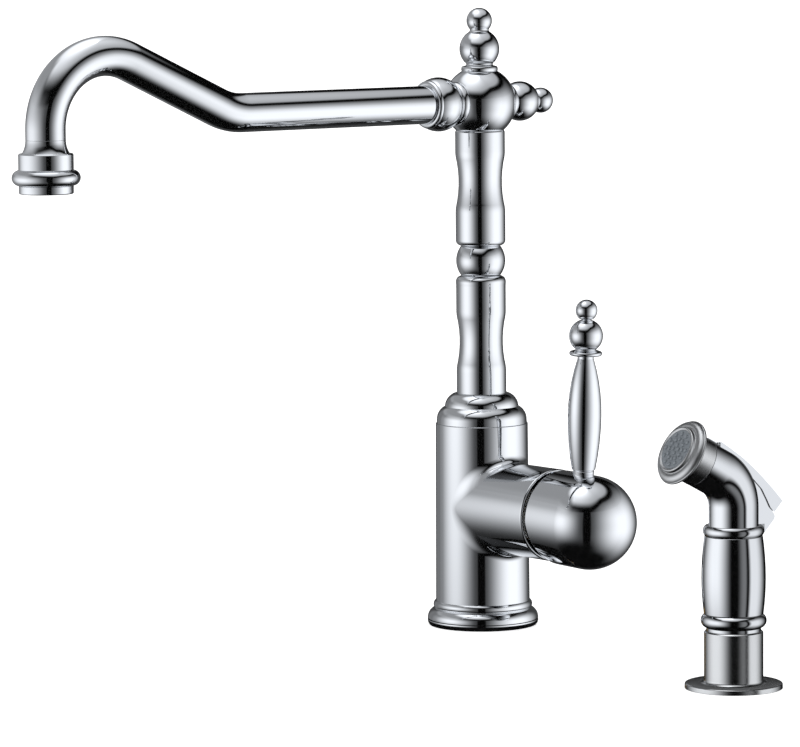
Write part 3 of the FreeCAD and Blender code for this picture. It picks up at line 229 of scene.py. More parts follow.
# %%
def mesh_piece(name, points, faces, normals, uvs=None):
    """Mesh object from points in millimetres, with its own vertex normals."""
    points, normals = np.array(points, float), np.array(normals, float)
    keys = np.round(points, 4)
    _, first, back = np.unique(keys, axis=0, return_index=True, return_inverse=True)
    back = back.ravel()
    kept_faces, kept_uvs = [], []
    for f, face in enumerate(faces):
        corners, uv = [], []
        for c, index in enumerate(face):
            v = int(back[index])
            if v not in corners:
                corners.append(v)
                uv.append(uvs[f][c] if uvs is not None else (0.0, 0.0))
        if len(corners) > 2:
            kept_faces.append(corners)
            kept_uvs.extend(uv)
    summed = np.zeros((len(first), 3))
    np.add.at(summed, back, normals)
    summed /= np.maximum(np.linalg.norm(summed, axis=1, keepdims=True), 1e-9)
    data = bpy.data.meshes.new(name)
    data.from_pydata((points[first] * MM).tolist(), [], kept_faces)
    layer = data.uv_layers.new(name="UVMap")
    layer.data.foreach_set("uv", np.array(kept_uvs, np.float32).ravel())
    data.shade_smooth()
    data.update()
    for polygon in data.polygons:
        if Vector(summed[polygon.vertices[0]]).dot(polygon.normal) < -0.05:
            polygon.flip()
    data.normals_split_custom_set_from_vertices(summed.tolist())
    piece = bpy.data.objects.new(name, data)
    bpy.context.scene.collection.objects.link(piece)
    return piece


def lathe(name, steps, place=at_origin, around=144, soft=0.2):
    """Turned piece. A first and last step at radius 0 close it with poles."""
    solid = steps[0][0] == 0 and steps[-1][-2] == 0
    half, tangents = outline(steps, soft, closed=not solid)
    rows = len(half)
    area = sum(half[i][0] * half[(i + 1) % rows][1] - half[(i + 1) % rows][0] * half[i][1]
               for i in range(rows))
    side = 1 if area > 0 else -1
    lengths = np.concatenate([[0], np.cumsum(np.linalg.norm(np.diff(half, axis=0), axis=1))])
    mean_r = max(half[:, 0].max(), 1.0)
    points, normals = [], []
    for (r, h), (tr, th) in zip(half, tangents):
        for k in range(around):
            a = 2 * math.pi * k / around
            points.append((r * math.cos(a), r * math.sin(a), h))
            normals.append((side * th * math.cos(a), side * th * math.sin(a), -side * tr))
    faces, uvs = [], []
    for i in range(rows - 1 if solid else rows):
        j = (i + 1) % rows
        v0 = lengths[i] * MM
        v1 = (lengths[j] if j else lengths[i] + np.linalg.norm(half[0] - half[i])) * MM
        for k in range(around):
            n = (k + 1) % around
            u0 = 2 * math.pi * mean_r * k / around * MM
            u1 = 2 * math.pi * mean_r * (k + 1) / around * MM
            faces.append((i * around + k, i * around + n, j * around + n, j * around + k))
            uvs.append(((u0, v0), (u1, v0), (u1, v1), (u0, v1)))
    turn = place.to_3x3()
    points = [tuple(place @ Vector(p)) for p in points]
    normals = [tuple(turn @ Vector(n)) for n in normals]
    return mesh_piece(name, points, faces, normals, uvs)


def tube(name, path, radius, place=at_origin, around=96):
    """Bent round bar along points of a path in the YZ plane, with flat ends."""
    path = np.array(path, float)
    steps = np.diff(path, axis=0)
    tangents = np.vstack([steps[:1], steps[:-1] + steps[1:], steps[-1:]])
    tangents /= np.linalg.norm(tangents, axis=1, keepdims=True)
    points, normals, faces, uvs = [], [], [], []
    run = np.concatenate([[0], np.cumsum(np.linalg.norm(steps, axis=1))])
    for (y, z), (ty, tz) in zip(path, tangents):
        for k in range(around):
            a = 2 * math.pi * k / around
            n = (math.cos(a), -tz * math.sin(a), ty * math.sin(a))
            normals.append(n)
            points.append((radius * n[0], y + radius * n[1], z + radius * n[2]))
    for i in range(len(path) - 1):
        for k in range(around):
            n = (k + 1) % around
            u0, u1 = (2 * math.pi * radius * q / around * MM for q in (k, k + 1))
            v0, v1 = run[i] * MM, run[i + 1] * MM
            faces.append((i * around + k, i * around + n,
                          (i + 1) * around + n, (i + 1) * around + k))
            uvs.append(((u0, v0), (u1, v0), (u1, v1), (u0, v1)))
    for row in (0, len(path) - 1):
        faces.append(tuple(row * around + k for k in range(around)))
        uvs.append(tuple((0.0, 0.0) for _ in range(around)))
    turn = place.to_3x3()
    points = [tuple(place @ Vector(p)) for p in points]
    normals = [tuple(turn @ Vector(n)) for n in normals]
    return mesh_piece(name, points, faces, normals, uvs)


def bent_path(corners, radii, step_deg=1.5):
    """Points along straight runs joined by arcs, as (y, z)."""
    corners = [Vector(c) for c in corners]
    path = [corners[0]]
    for i in range(1, len(corners) - 1):
        before = (corners[i] - corners[i - 1]).normalized()
        after = (corners[i + 1] - corners[i]).normalized()
        turn = before.angle(after)
        radius = radii[i - 1]
        cut = radius * math.tan(turn / 2)
        side = 1 if before.x * after.y - before.y * after.x > 0 else -1
        centre = corners[i] - before * cut + Vector((-before.y, before.x)) * (side * radius)
        spoke = (corners[i] - before * cut) - centre
        count = max(6, int(math.degrees(turn) / step_deg))
        for k in range(count + 1):
            a = side * turn * k / count
            path.append(centre + Vector((spoke.x * math.cos(a) - spoke.y * math.sin(a),
                                         spoke.x * math.sin(a) + spoke.y * math.cos(a))))
    path.append(corners[-1])
    return path


# %% [markdown]
# ## Fixed turned pieces
#
# The foot ring is turned brass, a large bead under a small one, and the bonnet is
# the turned nut that holds the spout down on the body.

# %%
foot = lathe("foot_ring", [(27.5, 0), (30.2, 0), (31.1, 1.2, 31.3, 3.2), (30.55, 7.05, 27.4, 9.7),
                           (28.0, 11.85, 26.8, 14.0), (24.0, 14.0), (24.0, 1.5), (27.5, 1.5)],
             around=192)
bonnet = lathe("bonnet_nut", [(21.0, 114.8), (25.55, 114.8), (25.4, 117.4),
                              (24.275, 121.2, 21.1, 124.2), (20.8, 124.4),
                              (19.5, 128.5, 15.4, 131.8), (14.05, 132.1), (14.05, 120.8),
                              (21.0, 120.8)], around=192)
print("foot and bonnet", len(foot.data.vertices), len(bonnet.data.vertices), "points")

# %% [markdown]
# ## Turning spout
#
# Two waisted columns with a ball between them carry the hub. The finials, the
# collar and the outlet are turned, and the spout is one bent tube.

# %%
def waist(middle):
    return [(14.0, middle - 15.0), (12.2, middle, 14.0, middle + 15.0)]


ball_z = 198.3 + circle_r(13.85, 10.9)
upper_low = 2 * ball_z - 198.3
upper_top = hub_z - circle_r(20.4, 14.0)
column_lower = lathe("lower_column", [(8.0, 117.0), (14.0, 117.0)] + waist(161.4)
                     + [(14.0, 194.4), (13.3, 197.2, 10.9, 198.3), (8.0, 198.3)], soft=20.0)
column_ball = lathe("column_bead", [(9.0, 198.0), (10.9, 198.3), (13.85, ball_z, 10.9, upper_low),
                                    (9.0, upper_low + 0.3)])
column_upper = lathe("upper_column", [(9.0, upper_low), (11.0, upper_low),
                                      (13.121, upper_low + 0.879, 14.0, upper_low + 3.0)]
                     + waist(251.2) + [(14.0, upper_top), (9.0, upper_top)], soft=20.0)
hub = lathe("hub_ball", [(0, -20.4), (20.4, 0, 0, 20.4)], at_hub_top, around=192)


def finial(name, ball_at, tip_at, place):
    """Turned finial: ring, cove, large ball, neck and small ball."""
    seat = circle_r(20.4, 10.3)
    ball_low, ball_high, tip_low = ball_at - 7.6, ball_at + 9.5, tip_at - 4.5
    steps = [(0, -2.0), (10.0, -2.0), (10.0, 0), (10.3, 1.4, 9.85, 2.8), (7.7, 3.4),
             (7.5, (3.4 + ball_low) / 2, circle_r(11.2, 7.6), ball_low),
             (11.2, ball_at, circle_r(11.2, 9.5), ball_high),
             (5.35, (ball_high + tip_low) / 2, circle_r(7.17, 4.5), tip_low),
             (7.17, tip_at, 0, tip_at + 7.17)]
    return lathe(name, steps, place @ Matrix.Translation((0, 0, seat)))


top_finial = finial("top_finial_turned", 12.6, 28.4, at_hub_top)
rear_finial = finial("rear_finial_turned", 11.6, 26.9, at_hub_back)
collar_seat = circle_r(20.4, 12.2)
collar = lathe("collar_turned", [(7.5, -2.0), (11.9, -2.0), (11.9, 0), (12.2, 1.6, 11.7, 3.2),
                                 (11.3, 3.8), (11.6, 4.3), (15.0, 11.6, 13.4, 20.3),
                                 (12.8, 22.0, 11.3, 22.5), (10.6, 22.5), (10.6, 3.2), (7.5, 3.2)],
               at_hub_front @ Matrix.Translation((0, 0, collar_seat)))

rise = math.radians(24.4)
tube_end = 257.4 + 4.2 + 8.4 + 8.6 + 7.0
crest_z = hub_z + math.tan(rise) * (292.8 - 174.5)
spout_path = bent_path([(-collar_seat - 3.2, hub_z), (-174.5, hub_z), (-292.8, crest_z),
                        (-292.8, tube_end)], (40.0, 37.7))
spout = tube("spout_bent_tube", spout_path, 10.6, around=128)
outlet = lathe("outlet_turned", [(11.5, 261.6), (14.3, 261.6), (14.4, 261.75),
                                 (18.05, 265.8, 14.5, 270.0), (14.5, 278.0), (14.0, 278.6),
                                 (12.5, 278.7), (11.05, 282.1, 10.6, tube_end),
                                 (9.4, tube_end), (9.4, 276.0), (11.5, 275.6)], at_outlet)
aerator = lathe("aerator_turned", [(9.0, 257.4), (13.55, 257.4), (14.1, 257.65, 14.35, 258.2),
                                   (14.35, 261.6), (11.5, 261.6), (11.5, 268.6), (9.8, 268.6),
                                   (9.8, 258.4), (9.0, 258.4)], at_outlet)
print("spout path", len(spout_path), "points, crest at", round(crest_z, 1))

# %% [markdown]
# ## Body casting
#
# The body is an upright barrel and a branch, joined by the fillet that a casting
# has. The fillet is the path of a ball that rolls in the corner and grows from 5 mm
# above and below to 22 mm at the sides, where the two are almost equally wide. Its
# contact lines are worked out from the ball's middle. The barrel's patch is
# stretched between the contact line and a plain rectangle, and the rest of the
# barrel is a plain grid.

# %%
barrel_foot_r, barrel_top_r, barrel_low, barrel_high = 26.6, 26.05, 14.0, 114.8
branch_r, branch_end = 25.7, 65.0


def barrel_radius(z):
    t = (z - barrel_low) / (barrel_high - barrel_low)
    return barrel_foot_r + (barrel_top_r - barrel_foot_r) * t


def on_barrel(theta, z):
    r = barrel_radius(z)
    return (r * math.cos(theta), r * math.sin(theta), z), (math.cos(theta), math.sin(theta), 0.0055)


def roll(psi):
    """Radius of the rolling ball, where psi turns round the branch from the top."""
    return 5.0 + 17.0 * math.sin(psi) ** 4


def ball_middle(psi):
    y = (branch_r + roll(psi)) * math.sin(psi)
    z = branch_z + (branch_r + roll(psi)) * math.cos(psi)
    return Vector((math.sqrt((barrel_radius(z) + roll(psi)) ** 2 - y * y), y, z))


def contact_on_barrel(psi):
    middle = ball_middle(psi)
    return math.atan2(middle.y, middle.x), middle.z


def grid_faces(first, rows, columns, closed):
    """Quads of a grid of points stored row by row."""
    wide = columns if closed else columns - 1
    return [(first + i * columns + k, first + i * columns + (k + 1) % columns,
             first + (i + 1) * columns + (k + 1) % columns, first + (i + 1) * columns + k)
            for i in range(rows - 1) for k in range(wide)]


points, normals, faces = [], [], []
edge_theta = math.radians(100)
z_low, z_high = barrel_low, barrel_high - 0.35
upright = [z_low + (z_high - z_low) * i / 60 for i in range(61)]
level = [-edge_theta + 2 * edge_theta * i / 80 for i in range(81)]
frame_line = ([(edge_theta, z) for z in upright[:-1]] + [(t, z_high) for t in level[:0:-1]]
              + [(-edge_theta, z) for z in upright[:0:-1]] + [(t, z_low) for t in level[:-1]])
hole_line = []
for theta, z in frame_line:
    psi = math.atan2(theta / math.radians(79), (z - branch_z) / 31.0)
    hole_line.append(psi)
hole_line = list(np.unwrap(hole_line))
rows = 34
for i in range(rows + 1):
    s = (i / rows) ** 1.5
    for (theta, z), psi in zip(frame_line, hole_line):
        t0, z0 = contact_on_barrel(psi)
        p, n = on_barrel(t0 + (theta - t0) * s, z0 + (z - z0) * s)
        points.append(p)
        normals.append(n)
faces += grid_faces(0, rows + 1, len(frame_line), True)
start = len(points)
back_thetas = [edge_theta + (2 * math.pi - 2 * edge_theta) * i / 60 for i in range(61)]
for z in upright:
    for theta in back_thetas:
        p, n = on_barrel(theta, z)
        points.append(p)
        normals.append(n)
faces += grid_faces(start, len(upright), len(back_thetas), False)

start = len(points)
fillet_rows = 14
for i in range(fillet_rows + 1):
    for psi in hole_line:
        middle = ball_middle(psi)
        theta, z = contact_on_barrel(psi)
        a = (Vector(on_barrel(theta, z)[0]) - middle).normalized()
        b = Vector((0, -math.sin(psi), -math.cos(psi)))
        spread = a.angle(b)
        s = i / fillet_rows
        way = (a * math.sin((1 - s) * spread) + b * math.sin(s * spread)) / math.sin(spread)
        if i == 0:
            points.append(on_barrel(theta, z)[0])
        else:
            points.append(tuple(middle + way * roll(psi)))
        normals.append(tuple(-way))
faces += grid_faces(start, fillet_rows + 1, len(hole_line), True)

lip = 1.2
lip_steps = [math.pi / 2 * i / 8 for i in range(9)]
branch_rows = [(None, branch_r)]
branch_rows += [(branch_end - lip + lip * math.sin(a), branch_r - lip + lip * math.cos(a))
                for a in lip_steps]
branch_normals = [(0.0, 1.0)] + [(math.sin(a), math.cos(a)) for a in lip_steps]
branch_rows += [(branch_end, 22.8), (branch_end - 0.2, 22.6), (57.5, 22.6), (57.5, 15.0)]
branch_normals += [(1.0, 0.0), (0.0, -1.0), (0.0, -1.0), (1.0, 0.0)]
start = len(points)
for (x, r), (nx, nr) in zip(branch_rows, branch_normals):
    for psi in hole_line:
        px = ball_middle(psi).x if x is None else x
        points.append((px, r * math.sin(psi), branch_z + r * math.cos(psi)))
        normals.append((nx, nr * math.sin(psi), nr * math.cos(psi)))
faces += grid_faces(start, len(branch_rows), len(hole_line), True)

start = len(points)
around_barrel = level[:-1] + back_thetas[:-1]
for r, z, nr, nz in ((barrel_radius(z_high), z_high, 1, 0), (25.95, 114.69, 0.7, 0.7),
                     (25.7, 114.8, 0, 1), (21.0, 114.8, 0, 1)):
    for theta in around_barrel:
        points.append((r * math.cos(theta), r * math.sin(theta), z))
        normals.append((nr * math.cos(theta), nr * math.sin(theta), nz))
faces += grid_faces(start, 4, len(around_barrel), True)
body = mesh_piece("body_casting", points, faces, normals)
print("body", len(body.data.vertices), "points")

# %% [markdown]
# ## Handle
#
# The dome is a spun cap. Its back edge leans away below the middle, which lets
# the handle tilt. Behind it a neck goes into the branch. The lever and its knob
# are turned.

# %%
relief = math.tan(math.radians(12.0))
ring_count = 168
dome_rows = [(63.5, 8.0, -1.0, 0.0, 0), (63.5, 15.1, -1.0, 0.0, 0), (63.9, 15.5, 0.0, 1.0, 0),
             (dome_back, 15.5, 0.0, 1.0, 1), (dome_back, 15.6, -1.0, 0.0, 1),
             (dome_back, dome_r - 1.0, -1.0, 0.0, 1)]
for k in range(1, 9):
    a = math.pi / 2 * k / 8
    dome_rows.append((dome_back + 1.0 - math.cos(a), dome_r - 1.0 + math.sin(a),
                      -math.cos(a), math.sin(a), 1))
dome_rows.append((dome_centre, dome_r, 0.0, 1.0, 0))
for k in range(1, 41):
    a = math.pi / 2 * k / 40
    dome_rows.append((dome_centre + dome_r * math.sin(a), dome_r * math.cos(a),
                      math.sin(a), math.cos(a), 0))
points, normals = [], []
turn = tilt_handle.to_3x3()
for x, r, nx, nr, leaning in dome_rows:
    for k in range(ring_count):
        psi = 2 * math.pi * k / ring_count
        drop = max(0.0, -r * math.cos(psi)) if leaning else 0.0
        normal = Vector((nx, nr * math.sin(psi), nr * math.cos(psi)))
        points.append(tuple(tilt_handle @ Vector((x + drop * relief, r * math.sin(psi),
                                                  branch_z + r * math.cos(psi)))))
        normals.append(tuple(turn @ normal))
dome = mesh_piece("dome_spun", points, grid_faces(0, len(dome_rows), ring_count, True), normals)
lever = lathe("lever_turned", [(0, -1.2), (5.6, -1.2), (6.0, 1.8), (5.6, 2.4), (6.5, 2.9),
                               swell(6.5, 2.9, 9.3, 32.6) + (9.3, 32.6),
                               swell(4.45, 64.4, 9.3, 32.6) + (4.45, 64.4), (4.45, 65.6),
                               (0, 65.6)], at_lever)
knob_low, knob_high, knob_tip = 11.3 - 7.4, 11.3 + 8.5, 25.3 - 4.8
knob = lathe("knob_turned", [(0, 0), (4.45, 0), (8.15, 0.4), (9.05, 1.7, 8.15, 2.8), (6.3, 3.4),
                             (5.7, 3.6, circle_r(9.33, 7.4), knob_low),
                             (9.33, 11.3, circle_r(9.33, 8.5), knob_high),
                             (2.7, (knob_high + knob_tip) / 2, circle_r(6.0, 4.8), knob_tip),
                             (6.0, 25.3, 0, 31.3)],
             at_lever @ Matrix.Translation((0, 0, 65.6)))
print("dome", len(dome.data.vertices), "points")

# %% [markdown]
# ## Hand spray
#
# The holder and collar are brushed, the bell is satin, and the grip and the bent
# neck are polished. The neck carries a flat housing for the valve on its back and a
# lug for the lever's pin. The lever is a folded strip: two cheeks and a back.

# %%
holder = lathe("holder_turned", [(21.0, 0), (25.5, 0), (25.5, 2.0), (25.25, 2.55, 24.7, 2.8),
                                 (17.4, 2.8), (16.0, 3.4, 15.4, 4.8), (15.4, 29.4), (14.8, 30.0),
                                 (13.95, 30.0), (13.95, 8.0), (13.2, 8.0), (13.2, 1.5),
                                 (21.0, 1.5)], at_spray)
grip_bead = lathe("grip_bead_turned", [(9.8, 30.0), (14.2, 30.0), (14.2, 31.8),
                                       (17.1, 35.25, 15.5, 38.7), (12.9, 38.7), (12.9, 38.0),
                                       (9.8, 38.0)], at_spray)
grip = lathe("grip_turned", [(12.9, 38.7), (15.2, 38.7), (15.5, 39.2),
                             swell(15.5, 39.2, 16.7, 57.7) + (16.7, 57.7),
                             swell(15.15, 79.7, 16.7, 57.7) + (15.15, 79.7), (12.9, 79.7)],
             at_spray)
grip_ring = lathe("grip_ring_turned", [(12.9, 79.7), (14.85, 79.7), (15.15, 80.2),
                                       (15.9, 82.4, 14.75, 85.1), (12.9, 85.1)], at_spray)
seam_yz = (seam.y, seam.z)
corner_z = bend_z + bend_r * math.tan(bend_turn / 2)
neck = tube("neck_bent_tube", bent_path([(0, 84.0), (0, corner_z), seam_yz], (bend_r,)),
            neck_r, at_spray, around=144)
spray_collar = lathe("spray_collar_turned", [(8.0, 0), (12.6, 0), (13.0, 0.4), (13.0, 8.5),
                                             (8.0, 8.5)], at_collar)
bell = lathe("spray_bell_turned", [(8.0, 0), (13.0, 0), (13.6, 1.9, 17.1, 2.9),
                                   (17.75, 3.7, 17.3, 4.5), (15.9, 6.2, 13.6, 6.5), (12.6, 6.5),
                                   (12.6, 8.0), (12.3, 8.5, 11.7, 8.6), (10.85, 8.2),
                                   (10.85, 5.6), (8.0, 5.6)], at_bell, soft=0.35)


def plate(name, corners, half, bevel, soft_edges=(), place=at_origin):
    """Flat plate across X with a rounded rim. Corners are (y, z)."""
    count = len(corners)
    verts = [tuple(place @ Vector((x, y, z))) for x in (-half, half) for y, z in corners]
    sides = [(k, (k + 1) % count, count + (k + 1) % count, count + k) for k in range(count)]
    data = bpy.data.meshes.new(name)
    data.from_pydata([tuple(c * MM for c in v) for v in verts], [],
                     [tuple(range(count)), tuple(range(2 * count - 1, count - 1, -1))] + sides)
    data.update()
    weights = data.attributes.new("bevel_weight_edge", "FLOAT", "EDGE")
    for edge in data.edges:
        a, b = sorted(edge.vertices)
        if (a < count) == (b < count):
            low = min(a % count, b % count)
            weights.data[edge.index].value = 1.0 if low in soft_edges else bevel[0] / bevel[1]
    piece = bpy.data.objects.new(name, data)
    bpy.context.scene.collection.objects.link(piece)
    trim = piece.modifiers.new("rim", "BEVEL")
    trim.width = bevel[1] * MM
    trim.segments = 5
    trim.limit_method = "WEIGHT"
    trim.use_clamp_overlap = bool(soft_edges)
    bake(piece)
    return piece


def bake(piece):
    """Replaces a piece's mesh by the result of its modifiers, with sharp edges kept."""
    bpy.context.view_layer.update()
    depsgraph = bpy.context.evaluated_depsgraph_get()
    result = bpy.data.meshes.new_from_object(piece.evaluated_get(depsgraph))
    piece.modifiers.clear()
    piece.data = result
    result.shade_smooth()
    result.set_sharp_from_angle(angle=math.radians(32))
    return piece


def run_yz(steps):
    """Corner points of an outline in the YZ plane, with its arcs drawn out."""
    line = [steps[0]]
    for step in steps[1:]:
        if len(step) == 4:
            line.extend(tuple(p) for p in arc_points(line[-1], step[:2], step[2:], 5.0)[0][1:])
        else:
            line.append(step)
    return line


housing = plate("valve_housing", run_yz([(4, 85.2), (16.4, 85.2), (16.4, 80.5), (22.3, 86.8),
                                         (23.0, 88.7, 21.9, 90.6), (17.4, 98.4, 7.5, 110.0),
                                         (0, 108.0)]), 4.6, (0.5, 2.2), (2, 3, 4, 5), at_spray)
lug = plate("pin_lug", run_yz([(-19.0, 122.0), (-19.0, 130.9), (-17.9, 132.0), (-12.6, 129.3),
                               (-11.0, 128.4, -10.6, 127.0), (-10.6, 122.0)]),
            2.6, (0.3, 0.6), (), at_spray)


lever_top = [(-11.9, 128.9), (-6.9, 125.6), (0.7, 120.3), (7.0, 115.1), (13.6, 109.0),
             (19.8, 102.8), (25.5, 96.6)]
lever_low = [(21.3, 92.2), (19.4, 94.4), (17.6, 98.0), (14.1, 104.2), (8.6, 109.9),
             (1.8, 114.7), (-5.4, 118.1), (-12.4, 120.6)]
lever_web = [(22.9, 95.9), (12.0, 107.8), (0.0, 117.9), (-9.4, 125.0)]
cheeks = [plate(name, lever_top + lever_low, 0.9, (0.85, 0.85), (),
                at_spray @ Matrix.Translation((side * 5.6, 0, 0)))
          for name, side in (("spray_lever_near", 1), ("spray_lever_far", -1))]
trigger = plate("spray_lever_back", lever_top + lever_web, 5.6, (0.2, 0.2), (), at_spray)
nozzle = lathe("nozzle_face", [(0, 5.6), (10.85, 5.6), (10.85, 8.2), (0, 8.2)], at_bell)
print("lever plates", [len(piece.data.vertices) for piece in (*cheeks, trigger)], "points")

# %% [markdown]
# ## Nozzle nubs
#
# The spray face has one moulded nub for each jet, in three rings. Geometry Nodes
# set copies of one nub round a ring.

# %%
def nub_tree():
    """Node group that sets nubs round a ring."""
    tree = bpy.data.node_groups.new("nozzle_nubs", "GeometryNodeTree")
    face = tree.interface
    face.new_socket(name="Count", in_out="INPUT", socket_type="NodeSocketInt")
    face.new_socket(name="Ring radius", in_out="INPUT", socket_type="NodeSocketFloat")
    face.new_socket(name="Nub radius", in_out="INPUT", socket_type="NodeSocketFloat")
    face.new_socket(name="Finish", in_out="INPUT", socket_type="NodeSocketMaterial")
    face.new_socket(name="Geometry", in_out="OUTPUT", socket_type="NodeSocketGeometry")
    kinds = {"start": "NodeGroupInput", "ring": "GeometryNodeMeshCircle",
             "nub": "GeometryNodeMeshUVSphere", "set": "GeometryNodeInstanceOnPoints",
             "real": "GeometryNodeRealizeInstances", "smooth": "GeometryNodeSetShadeSmooth",
             "paint": "GeometryNodeSetMaterial", "end": "NodeGroupOutput"}
    items = {key: tree.nodes.new(kind) for key, kind in kinds.items()}
    items["nub"].inputs["Segments"].default_value = 20
    items["nub"].inputs["Rings"].default_value = 12
    for a, out, b, into in (("start", "Count", "ring", "Vertices"),
                            ("start", "Ring radius", "ring", "Radius"),
                            ("start", "Nub radius", "nub", "Radius"),
                            ("ring", "Mesh", "set", "Points"), ("nub", "Mesh", "set", "Instance"),
                            ("set", "Instances", "real", "Geometry"),
                            ("real", "Geometry", "smooth", "Geometry"),
                            ("smooth", "Geometry", "paint", "Geometry"),
                            ("start", "Finish", "paint", "Material"),
                            ("paint", "Geometry", "end", "Geometry")):
        tree.links.new(items[a].outputs[out], items[b].inputs[into])
    return tree


def ring_of_nubs(name, tree, count, ring_r, finish):
    piece = bpy.data.objects.new(name, bpy.data.meshes.new(name))
    bpy.context.scene.collection.objects.link(piece)
    modifier = piece.modifiers.new("nubs", "NODES")
    modifier.node_group = tree
    values = {"Count": count, "Ring radius": ring_r * MM, "Nub radius": 1.0 * MM,
              "Finish": finish}
    for socket in tree.interface.items_tree:
        if socket.in_out == "INPUT":
            modifier[socket.identifier] = values[socket.name]
    bpy.context.view_layer.update()
    depsgraph = bpy.context.evaluated_depsgraph_get()
    piece.data = bpy.data.meshes.new_from_object(piece.evaluated_get(depsgraph))
    piece.modifiers.clear()
    face = Matrix.LocRotScale(at_bell.to_translation() * MM, at_bell.to_quaternion(), (1, 1, 1))
    piece.data.transform(face @ Matrix.Translation((0, 0, 8.35 * MM)))
    return piece


# %% [markdown]
# ## Materials
#
# Plated metal, brushed nickel, brass, rubber and plastics. Each has a small
# procedural surface: plating is never quite flat, brushing runs round a turned
# piece, and moulded parts have a fine grain.

# %%
def linear(code):
    """Linear colour of an sRGB hex code."""
    values = [int(code[i:i + 2], 16) / 255 for i in (0, 2, 4)]
    return [v / 12.92 if v <= 0.04045 else ((v + 0.055) / 1.055) ** 2.4 for v in values] + [1.0]


def new_material(name, code, metallic, roughness):
    material = bpy.data.materials.new(name)
    material.use_nodes = True
    shader = material.node_tree.nodes["Principled BSDF"]
    shader.inputs["Base Color"].default_value = linear(code)
    shader.inputs["Metallic"].default_value = metallic
    shader.inputs["Roughness"].default_value = roughness
    return material, shader


def node(material, kind, links=(), **values):
    """Adds a node, sets its inputs by name and links (from socket, to input) pairs."""
    tree = material.node_tree
    item = tree.nodes.new(kind)
    for key, value in values.items():
        if hasattr(item, key):
            setattr(item, key, value)
        else:
            item.inputs[key.replace("_", " ")].default_value = value
    for source, target in links:
        tree.links.new(source, item.inputs[target])
    return item


def grained(name, code, metallic, roughness, size_mm, depth_mm, spread,
            stretch=(1, 1, 1), uv=False):
    """Material with noise of a real size in its height and roughness."""
    material, shader = new_material(name, code, metallic, roughness)
    place = node(material, "ShaderNodeTexCoord")
    source = place.outputs["UV" if uv else "Object"]
    scaled = node(material, "ShaderNodeMapping", [(source, "Vector")], Scale=stretch)
    noise = node(material, "ShaderNodeTexNoise", [(scaled.outputs["Vector"], "Vector")],
                 Scale=1000.0 / size_mm, Detail=3.0)
    bump = node(material, "ShaderNodeBump", [(noise.outputs[0], "Height")],
                Strength=1.0, Distance=depth_mm * MM)
    ramp = node(material, "ShaderNodeMapRange", [(noise.outputs[0], "Value")],
                To_Min=roughness - spread, To_Max=roughness + spread)
    tree = material.node_tree
    tree.links.new(bump.outputs["Normal"], shader.inputs["Normal"])
    tree.links.new(ramp.outputs["Result"], shader.inputs["Roughness"])
    return material


# Bright chrome plate on polished brass, with the faint swell that buffing leaves.
chrome = grained("polished_chrome_plate", "E6E8EB", 1.0, 0.035, 6.0, 0.0006, 0.012)
# Nickel plate brushed round the turned piece. The lines are drawn 0.4 mm apart, which
# is about twice as coarse as they are, so that they show.
nickel = grained("brushed_nickel_plate", "DCDDDE", 1.0, 0.2, 0.4, 0.012, 0.09, (0.02, 1, 1), True)
# The same plate blasted to an even satin, on the spray's bell.
satin = grained("blasted_nickel_plate", "D4D5D6", 1.0, 0.36, 0.3, 0.004, 0.05)
# Turned brass of the parts under the deck and of the waterways.
brass = grained("turned_brass", "C8A462", 1.0, 0.22, 0.5, 0.004, 0.05)
# Moulded rubber of the gaskets.
rubber = grained("moulded_black_rubber", "1C1C1D", 0.0, 0.62, 0.8, 0.01, 0.08)
# Acetal of the cartridge, the liner and the flow straightener.
acetal = grained("moulded_acetal", "D8D8D4", 0.0, 0.42, 0.7, 0.006, 0.06)
# Grey moulded spray face.
spray_face = grained("moulded_grey_nozzle_face", "767C82", 0.0, 0.24, 0.6, 0.006, 0.05)
# Lapped alumina of the valve discs.
alumina = grained("lapped_alumina", "F2EFE6", 0.0, 0.15, 0.4, 0.001, 0.03)
# Drawn stainless steel of pins, clip and washer.
steel = grained("drawn_stainless_steel", "A9ABAD", 1.0, 0.25, 0.3, 0.003, 0.05)
nub_nodes = nub_tree()
nubs = [ring_of_nubs(name, nub_nodes, count, ring_r, spray_face)
        for name, count, ring_r in (("nubs_inner", 4, 2.2), ("nubs_middle", 12, 5.5),
                                    ("nubs_outer", 12, 8.6))]
print("nubs", [len(piece.data.vertices) for piece in nubs])
finishes = {"chrome": chrome, "satin_nickel": nickel, "brass": brass, "rubber": rubber,
            "plastic": acetal, "nozzle_plastic": spray_face, "ceramic": alumina, "steel": steel}
for name, item in frame["nodes"].items():
    item.data.materials.clear()
    item.data.materials.append(finishes[slot_of_node[name]])

# %% [markdown]
# ## What each piece stands for
#
# Each smooth piece replaces its CAD node, rides on that node's body and takes
# that node's finish.

# %%
stand_for = [(foot, "base_ring"), (body, "valve_body", "valve_branch", "branch_ring"),
             (bonnet, "bonnet"), (column_lower, "column_lower"), (column_ball, "column_ball"),
             (column_upper, "column_upper"), (hub, "spout_hub"), (top_finial, "top_finial"),
             (rear_finial, "rear_finial"), (collar, "spout_collar"), (spout, "spout_tube"),
             (outlet, "spout_outlet"), (aerator, "aerator_ring"), (dome, "handle_dome"),
             (lever, "handle_lever"), (knob, "lever_knob"), (holder, "spray_holder"),
             (grip_bead, "grip_bead"), (grip, "grip"), (grip_ring, "grip_ring"),
             (neck, "spray_neck"), (spray_collar, "spray_collar"), (bell, "spray_bell"),
             (trigger, "spray_trigger"), (nozzle, "nozzle_disc")]
for piece, *nodes in stand_for:
    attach(piece, body_of_node[nodes[0]])
    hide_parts(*nodes)
    piece.data.materials.append(satin if piece is bell else finishes[slot_of_node[nodes[0]]])
